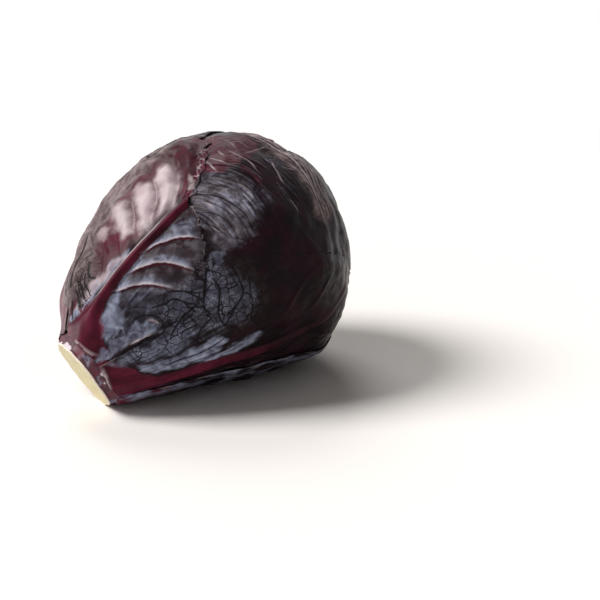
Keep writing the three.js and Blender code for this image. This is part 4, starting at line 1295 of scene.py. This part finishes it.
def leaf_finish(name):
    """A waxy leaf: dark between its veins, with bloom, dried and torn places, and painted highlights, sheen
    and shade where the masks say.
    """
    n = Nodes(name)
    mottle = n.noise(70, 5)
    patchy = n.noise(190, 4, distortion=0.8)
    fine = n.noise(900, 3)

    def shifted(mask, amount):
        """A mask with an uneven noise added."""
        uneven = n.math("MULTIPLY", n.math("SUBTRACT", patchy, 0.5), amount)
        return n.math("ADD", n.attribute(mask), uneven)

    def broken(mask, low, high, amount):
        """A mask with frayed edges."""
        return n.steps(shifted(mask, amount), low, high)

    color = n.mix(n.steps(mottle, 0.35, 0.7), srgb("110509"), srgb("260b15"))
    haze = n.math("MULTIPLY", n.steps(n.noise(38, 4, distortion=0.5), 0.5, 0.8), 0.14)
    color = n.mix(haze, color, srgb("3a3340"))
    dry = broken("dry", 0.05, 1.05, 0.28)
    color = n.mix(dry, color, n.mix(n.steps(patchy, 0.25, 0.75), srgb("5c474c"), srgb("a59393")))
    crimson = broken("crimson", 0.05, 0.75, 0.2)
    color = n.mix(crimson, color, n.mix(n.steps(mottle, 0.3, 0.7), srgb("3f0a1b"), srgb("661c35")))
    # Bluish grey: the waxy bloom, and painted sheen where the mask carries it.
    brushed = n.math("MULTIPLY", n.attribute("streak"), 0.22)
    bloom_and_sheen = n.steps(n.math("ADD", shifted("bloom_and_sheen", 0.5), brushed), 0.05, 1.1)
    bloom_and_sheen = n.math("MULTIPLY", bloom_and_sheen, n.steps(n.attribute("bloom_and_sheen"), 0, 0.1))
    color = n.mix(bloom_and_sheen, color, n.mix(n.steps(patchy, 0.3, 0.7), srgb("686a80"), srgb("a6adc4")))
    # Pale marks, most of them painted highlights.
    pale = broken("pale", 0.0, 1.0, 0.08)
    color = n.mix(pale, color, n.mix(n.steps(mottle, 0.3, 0.7), srgb("c6b0b6"), srgb("e9dcdf")))
    # Painted shade: darker patches where the mask says.
    painted_shade = broken("painted_shade", 0.2, 0.8, 0.7)
    color = n.mix(n.math("MULTIPLY", painted_shade, 0.9), color, srgb("1b0a10"))
    # Painted shade in the troughs of the fine folds.
    streak = n.steps(n.attribute("streak"), -1.2, 1.2, 0.45, 1.0)
    shade = n.add("ShaderNodeCombineXYZ", {0: streak, 1: streak, 2: streak}).outputs[0]
    color = n.mix(1.0, color, shade, "MULTIPLY")
    cracks = crack_lines(n, 230, 0.075)
    small_cracks = n.math("MULTIPLY", crack_lines(n, 520, 0.08), n.steps(patchy, 0.45, 0.6, 0, 0.8))
    lines = n.math("MAXIMUM", n.math("MULTIPLY", cracks, n.steps(mottle, 0.35, 0.55, 0.15, 1)), small_cracks)
    cracks = n.math("MULTIPLY", lines, n.steps(n.attribute("crackle"), 0.2, 0.8))
    # Dark lines and painted shade in creases and gaps, with the cracks.
    dark_lines_and_shade = n.math("MAXIMUM", n.steps(n.attribute("dark_lines_and_shade"), 0.15, 0.6), cracks)
    color = n.mix(n.math("MULTIPLY", dark_lines_and_shade, 0.93), color, srgb("0b0508"))
    n.put(n.shader.inputs["Base Color"], color)
    rough = n.steps(mottle, 0.3, 0.7, 0.3, 0.4)
    rough = n.math("ADD", rough, n.math("MULTIPLY", dry, 0.12))
    n.put(n.shader.inputs["Roughness"], rough)
    n.shader.inputs["Specular IOR Level"].default_value = 0.07
    normal = n.bump(fine, 0.15, 0.0002)
    normal = n.bump(patchy, 0.2, 0.0004, normal)
    normal = n.bump(n.attribute("streak"), 0.3, 0.0002, normal)
    normal = n.bump(cracks, 0.5, -0.0005, normal)
    n.put(n.shader.inputs["Normal"], normal)
    return n.material


def crack_lines(n, scale, width):
    """1 on the lines between irregular cells, 0 inside them."""
    place = n.add("ShaderNodeTexCoord").outputs["Object"]
    inputs = {"Vector": place, "Scale": scale * 0.8, "Detail": 2.0}
    sway = n.add("ShaderNodeTexNoise", inputs).outputs["Color"]
    sway = n.add("ShaderNodeVectorMath", {0: sway, 1: (0.5, 0.5, 0.5)}, operation="SUBTRACT").outputs[0]
    sway = n.add("ShaderNodeVectorMath", {0: sway, "Scale": 0.5 / scale}, operation="SCALE").outputs[0]
    bent = n.add("ShaderNodeVectorMath", {0: place, 1: sway}, operation="ADD").outputs[0]
    cells_at = {"Vector": bent, "Scale": scale}
    edge = n.add("ShaderNodeTexVoronoi", cells_at, feature="DISTANCE_TO_EDGE").outputs["Distance"]
    return n.steps(edge, width * 0.4, width, 1, 0)


# ---------------------------------------------------------------- the cut stem and its core

STEM_RADIUS = 21.0
CUT_SLANT = math.tan(math.radians(9.0))
# Shares of the way from the middle of the cut to the core's tip, where the cut and the scars end.
CUT_SHARE = 0.36
SCARS_SHARE = 0.7
# Radius and height above the cut of the ring of leaf scars, and then of the core up to its tip.
STEM_SIDE = [
    (21, 0), (21.3, 0.5), (21.8, 2), (22.6, 4), (23.4, 6), (23.6, 8), (22.6, 9.6), (20.6, 12), (19.4, 16),
    (19, 40), (16.8, 54), (12.4, 68), (7, 78), (2.4, 84.5), (0, 86),
]
RIM_NOTCHES = [(84, 15, 2.6), (8, 7, 0.9), (150, 10, 1.0), (262, 16, 1.6), (318, 9, 1.0), (205, 12, 0.8)]
SCAR_RIDGES = (-12, 12, 37, 52, 72, 97, 128, 160, 200, 236, 270, 305, 330)
# Colours of the leaf scars, as (around, height above the cut) places with reaches and a strength.
SCAR_CRIMSON = [
    (26, 3.6, 11, 2.6), (61, 2.6, 7, 3.2), (88, 4.6, 8, 2.0), (108, 2.5, 9, 3), (150, 3, 14, 3),
    (190, 3, 10, 3), (228, 4, 12, 3), (262, 3, 9, 3), (296, 3.4, 11, 3), (338, 4, 8, 3),
]
SCAR_MAUVE = [
    (45, 4.6, 9, 2.4), (80, 2.4, 9, 1.6), (128, 3, 10, 3), (172, 2, 9, 3), (210, 3, 9, 3), (246, 3, 9, 3),
    (280, 3, 9, 3), (318, 3, 9, 3),
]
SCAR_WHITE = [(2, 1.2, 10, 2.4), (54, 7.5, 4, 1.2), (72, 6.0, 2.5, 2.6), (318, 1, 6, 1), (205, 1, 6, 1)]


def turn_between(a, b):
    """The signed turn in degrees from one angle to another."""
    return np.mod(a - b + 180, 360) - 180


def scar_mask(around, height, scars):
    """1 on some leaf scars round the stem, with uneven edges."""
    result = np.zeros(len(around))
    flat = np.stack([around * 0.37, height], -1)
    shift = summed_ripples(flat, ((1.5, 5, 421), (0.6, 2, 422)))
    rise = summed_ripples(flat, ((0.7, 4, 423), (0.3, 1.8, 424)))
    for place, level, wide, tall in scars:
        sideways = (turn_between(around, place) + 2.7 * shift) / wide
        away = sideways**2 + ((height + rise - level) / tall) ** 2
        result = np.maximum(result, 1 - smoothstep(away, 0.1, 1.7))
    return result


def add_stem(material):
    """The slanted, slightly dished cut with its uneven rim, the leaf scars around it and the core inside."""
    deselect_all()
    bpy.ops.mesh.primitive_uv_sphere_add(segments=160, ring_count=90, radius=1)
    obj = bpy.context.object
    obj.name = obj.data.name = "stem_core"
    unit = coordinates(obj.data)
    around = np.degrees(np.arctan2(unit[:, 1], unit[:, 0]))
    share = np.arccos(np.clip(-unit[:, 2], -1, 1)) / np.pi
    on_face = share < CUT_SHARE
    radius, height = stem_profile(share)
    outer = smoothstep(radius, 0.6 * STEM_RADIUS, STEM_RADIUS) * (1 - smoothstep(height, 4, 9))
    notch = sum(
        deep * np.exp(-((turn_between(around, place) / wide) ** 2)) for place, wide, deep in RIM_NOTCHES
    )
    circle = np.stack([np.cos(np.radians(around)), np.sin(np.radians(around))], -1) * STEM_RADIUS
    notch = notch + 0.25 * ripples(circle, 8, 401) + 0.1 * ripples(circle, 2.6, 402)
    ridge = np.max([np.exp(-((turn_between(around, place) / 3.2) ** 2)) for place in SCAR_RIDGES], axis=0)
    scar = smoothstep(height, 0.6, 2.5) * (1 - smoothstep(height, 6.5, 9)) * ~on_face
    radius = radius - outer * notch * (1 - smoothstep(height, 0, 5)) + scar * (0.6 * ridge - 0.5)
    slope = STEM_RADIUS - radius * np.cos(np.radians(around - CUT_NEAR_SIDE))
    cut = slope * CUT_SLANT * (1 - smoothstep(height, 3, 9))
    flat = np.stack([radius * np.cos(np.radians(around)), radius * np.sin(np.radians(around))], -1)
    dish = 0.5 * (1 - smoothstep(radius, 8, 20)) + 0.1 * ripples(flat, 9, 411) + 0.05 * ripples(flat, 3, 412)
    height = height + cut + np.where(on_face, dish, 0)
    local = np.stack([flat[:, 0], flat[:, 1], height - CENTRE_HEIGHT], -1)
    place = CENTRE + turned(local)
    place[:, 2] = np.maximum(place[:, 2], LEAST_HEIGHT)
    obj.data.vertices.foreach_set("co", (place * MM).ravel())
    level = height - cut
    rim = np.exp(-(((radius - STEM_RADIUS + outer * notch) / 0.9) ** 2)) * (1 - smoothstep(level, 0.5, 1.4))
    keep_attribute(obj.data, "face", np.where(on_face, 1, 1 - smoothstep(level, 0.0, 0.45)))
    keep_attribute(obj.data, "rim", rim)
    keep_attribute(obj.data, "crimson", scar_mask(around, level, SCAR_CRIMSON))
    keep_attribute(obj.data, "mauve", scar_mask(around, level, SCAR_MAUVE))
    keep_attribute(obj.data, "white", np.maximum(scar_mask(around, level, SCAR_WHITE), 0.1 * ridge * scar))
    keep_attribute(obj.data, "core", smoothstep(level, 10, 13))
    keep_attribute(obj.data, "radius", radius / STEM_RADIUS)
    obj.data.update()
    bpy.ops.object.mode_set(mode="EDIT")
    bpy.ops.mesh.select_all(action="SELECT")
    bpy.ops.mesh.normals_make_consistent(inside=False)
    bpy.ops.object.mode_set(mode="OBJECT")
    obj.data.polygons.foreach_set("use_smooth", np.ones(len(obj.data.polygons), bool))
    obj.data.materials.clear()
    obj.data.materials.append(material)
    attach(obj, "root")
    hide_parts("stem")


def stem_profile(share):
    """Radius and height by share of the way from the middle of the cut to the core's tip."""
    line = np.array([(0, 0)] + STEM_SIDE, float)
    length = travelled(line)
    along = np.interp(share, [0, CUT_SHARE, SCARS_SHARE, 1], [0, length[1], length[7], length[-1]])
    return np.interp(along, length, line[:, 0]), np.interp(along, length, line[:, 1])


def stem_finish(name):
    """Pale flesh on the cut, scarred skin round it and the pale core inside."""
    n = Nodes(name)
    mottle = n.noise(120, 4)
    fibre = n.noise(420, 3, distortion=1.2)
    patchy = n.noise(260, 4, distortion=0.8)
    flesh = n.mix(n.steps(mottle, 0.35, 0.65), srgb("c3b88c"), srgb("cfc7a3"))
    flesh = n.mix(n.math("MULTIPLY", n.steps(fibre, 0.55, 0.7), 0.4), flesh, srgb("c2b47c"))
    flesh = n.mix(n.steps(n.attribute("radius"), 0.55, 0.95), flesh, srgb("cdc29d"))
    skin = n.mix(n.steps(patchy, 0.35, 0.65), srgb("3a1520"), srgb("54303c"))
    for mask, noise, dark, light in (
        ("mauve", patchy, "4c4252", "8a8296"),
        ("crimson", mottle, "3d0f1d", "6a2238"),
        ("white", patchy, "b9a9b4", "e2d6de"),
    ):
        skin = n.mix(n.steps(n.attribute(mask), 0.2, 0.9), skin, n.mix(noise, srgb(dark), srgb(light)))
    skin = n.mix(n.attribute("core"), skin, srgb("dcd6b8"))
    color = n.mix(n.steps(n.attribute("face"), 0.4, 0.6), skin, flesh)
    color = n.mix(n.steps(n.attribute("rim"), 0.35, 0.8), color, srgb("e6d9cb"))
    n.put(n.shader.inputs["Base Color"], color)
    n.put(n.shader.inputs["Roughness"], n.steps(mottle, 0.3, 0.7, 0.42, 0.6))
    n.shader.inputs["Specular IOR Level"].default_value = 0.4
    normal = n.bump(fibre, 0.3, 0.0004)
    n.put(n.shader.inputs["Normal"], n.bump(patchy, 0.3, 0.0005, normal))
    return n.material


def inner_finish(name):
    """The pale violet leaves folded inside the head."""
    n = Nodes(name)
    mottle = n.noise(60, 4)
    fold = n.noise(170, 4, distortion=1.4)
    color = n.mix(n.steps(mottle, 0.35, 0.7), srgb("4a1a3c"), srgb("7d4a6e"))
    color = n.mix(n.math("MULTIPLY", n.steps(fold, 0.52, 0.7), 0.6), color, srgb("cdbccb"))
    n.put(n.shader.inputs["Base Color"], color)
    n.put(n.shader.inputs["Roughness"], n.steps(fold, 0.3, 0.7, 0.35, 0.5))
    n.put(n.shader.inputs["Normal"], n.bump(fold, 0.4, 0.0008))
    return n.material


# ---------------------------------------------------------------- camera, floor and light

VIEW_AZIMUTH = math.radians(-40)
VIEW_ELEVATION = math.radians(19)
VIEW_DISTANCE = 782.0
FOCAL_LENGTH = 85
VIEW_OFFSET = (50.2, -14.0)  # to the right of the head and above it, which puts the head left of the middle


FLOOR_SIZE = 12  # metres
FLOOR_FADE = (0.3, 0.75)  # metres from the middle, between which the floor turns white
FLOOR_COLOR = (0.93, 0.9, 0.87, 1)
WORLD_COLOR = (1, 0.94, 0.89, 1)
WORLD_LEVEL = 0.11
# Name, azimuth and elevation in degrees, width in degrees, strength and colour.
LAMPS = [
    ("key", -126, 46, 28, 3.4, (1, 0.985, 0.975)),
    ("top", 158, 50, 32, 1.0, (1, 0.985, 0.97)),
    ("fill", -84, 28, 60, 0.4, (0.97, 0.98, 1)),
]


def add_camera():
    back = np.array([
        math.sin(VIEW_AZIMUTH) * math.cos(VIEW_ELEVATION),
        -math.cos(VIEW_AZIMUTH) * math.cos(VIEW_ELEVATION),
        math.sin(VIEW_ELEVATION),
    ])
    right = np.array([math.cos(VIEW_AZIMUTH), math.sin(VIEW_AZIMUTH), 0])
    up = np.cross(back, right)
    target = CENTRE - AXIS * 5
    place = target + back * VIEW_DISTANCE + right * VIEW_OFFSET[0] + up * VIEW_OFFSET[1]
    data = bpy.data.cameras.new("camera")
    data.lens = FOCAL_LENGTH
    data.sensor_width = 36
    data.clip_end = 50
    camera = bpy.data.objects.new("camera", data)
    camera.location = Vector(place * MM)
    camera.rotation_euler = Vector(back).to_track_quat("Z", "Y").to_euler()
    bpy.context.scene.collection.objects.link(camera)
    bpy.context.scene.camera = camera


def seen_directly(n):
    """1 for what the camera, a reflection or a clear body looks at, 0 for what only lights."""
    path = n.add("ShaderNodeLightPath")
    seen = n.math("MAXIMUM", path.outputs["Is Camera Ray"], path.outputs["Is Glossy Ray"])
    return n.math("MAXIMUM", seen, path.outputs["Is Transmission Ray"])


def add_floor():
    deselect_all()
    bpy.ops.mesh.primitive_plane_add(size=FLOOR_SIZE)
    floor = bpy.context.object
    floor.name = floor.data.name = "floor"
    n = Nodes("floor_paper")
    place = n.add("ShaderNodeTexCoord").outputs["Object"]
    away = n.add("ShaderNodeVectorMath", {0: place}, operation="LENGTH").outputs["Value"]
    far = n.steps(away, *FLOOR_FADE)
    n.put(n.shader.inputs["Base Color"], FLOOR_COLOR)
    n.put(n.shader.inputs["Roughness"], 0.9)
    n.put(n.shader.inputs["Specular IOR Level"], 0.0)
    light = n.add("ShaderNodeEmission", {"Color": (1, 1, 1, 1), "Strength": 1.0}).outputs[0]
    share = n.math("MULTIPLY", far, seen_directly(n))
    mixed = n.add("ShaderNodeMixShader", {0: share, 1: n.shader.outputs[0], 2: light}).outputs[0]
    n.put(n.tree.nodes["Material Output"].inputs["Surface"], mixed)
    floor.data.materials.append(n.material)


def add_sun(name, azimuth, elevation, angle, strength, color):
    data = bpy.data.lights.new(name, "SUN")
    data.energy = strength
    data.angle = math.radians(angle)
    data.color = color
    lamp = bpy.data.objects.new(name, data)
    a, e = math.radians(azimuth), math.radians(elevation)
    towards = Vector((math.sin(a) * math.cos(e), -math.cos(a) * math.cos(e), math.sin(e)))
    lamp.rotation_euler = towards.to_track_quat("Z", "Y").to_euler()
    bpy.context.scene.collection.objects.link(lamp)


def add_world():
    world = bpy.data.worlds.new("studio")
    bpy.context.scene.world = world
    world.use_nodes = True
    tree = world.node_tree
    n = Tree(tree)
    lighting = tree.nodes["Background"]
    lighting.inputs["Color"].default_value = WORLD_COLOR
    lighting.inputs["Strength"].default_value = WORLD_LEVEL
    white = n.add("ShaderNodeBackground", {"Color": (1, 1, 1, 1), "Strength": 1.0}).outputs[0]
    mixed = n.add("ShaderNodeMixShader", {0: seen_directly(n), 1: lighting.outputs[0], 2: white}).outputs[0]
    n.put(tree.nodes["World Output"].inputs["Surface"], mixed)


# ---------------------------------------------------------------- the scene

add_camera()
add_floor()
add_world()
for lamp in LAMPS:
    add_sun(*lamp)
bpy.context.scene.view_settings.view_transform = "Standard"

leaf_material = leaf_finish("red_cabbage_leaf")
for index in range(len(plans)):
    add_wrapper(index, leaf_material)

add_stem(stem_finish("cut_stem"))
inner = inner_finish("head_leaf")
for name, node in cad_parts.items():
    if name.startswith("head_leaf") or name == "heart_bud":
        for place in node.material_slots:
            place.link = "OBJECT"
            place.material = inner
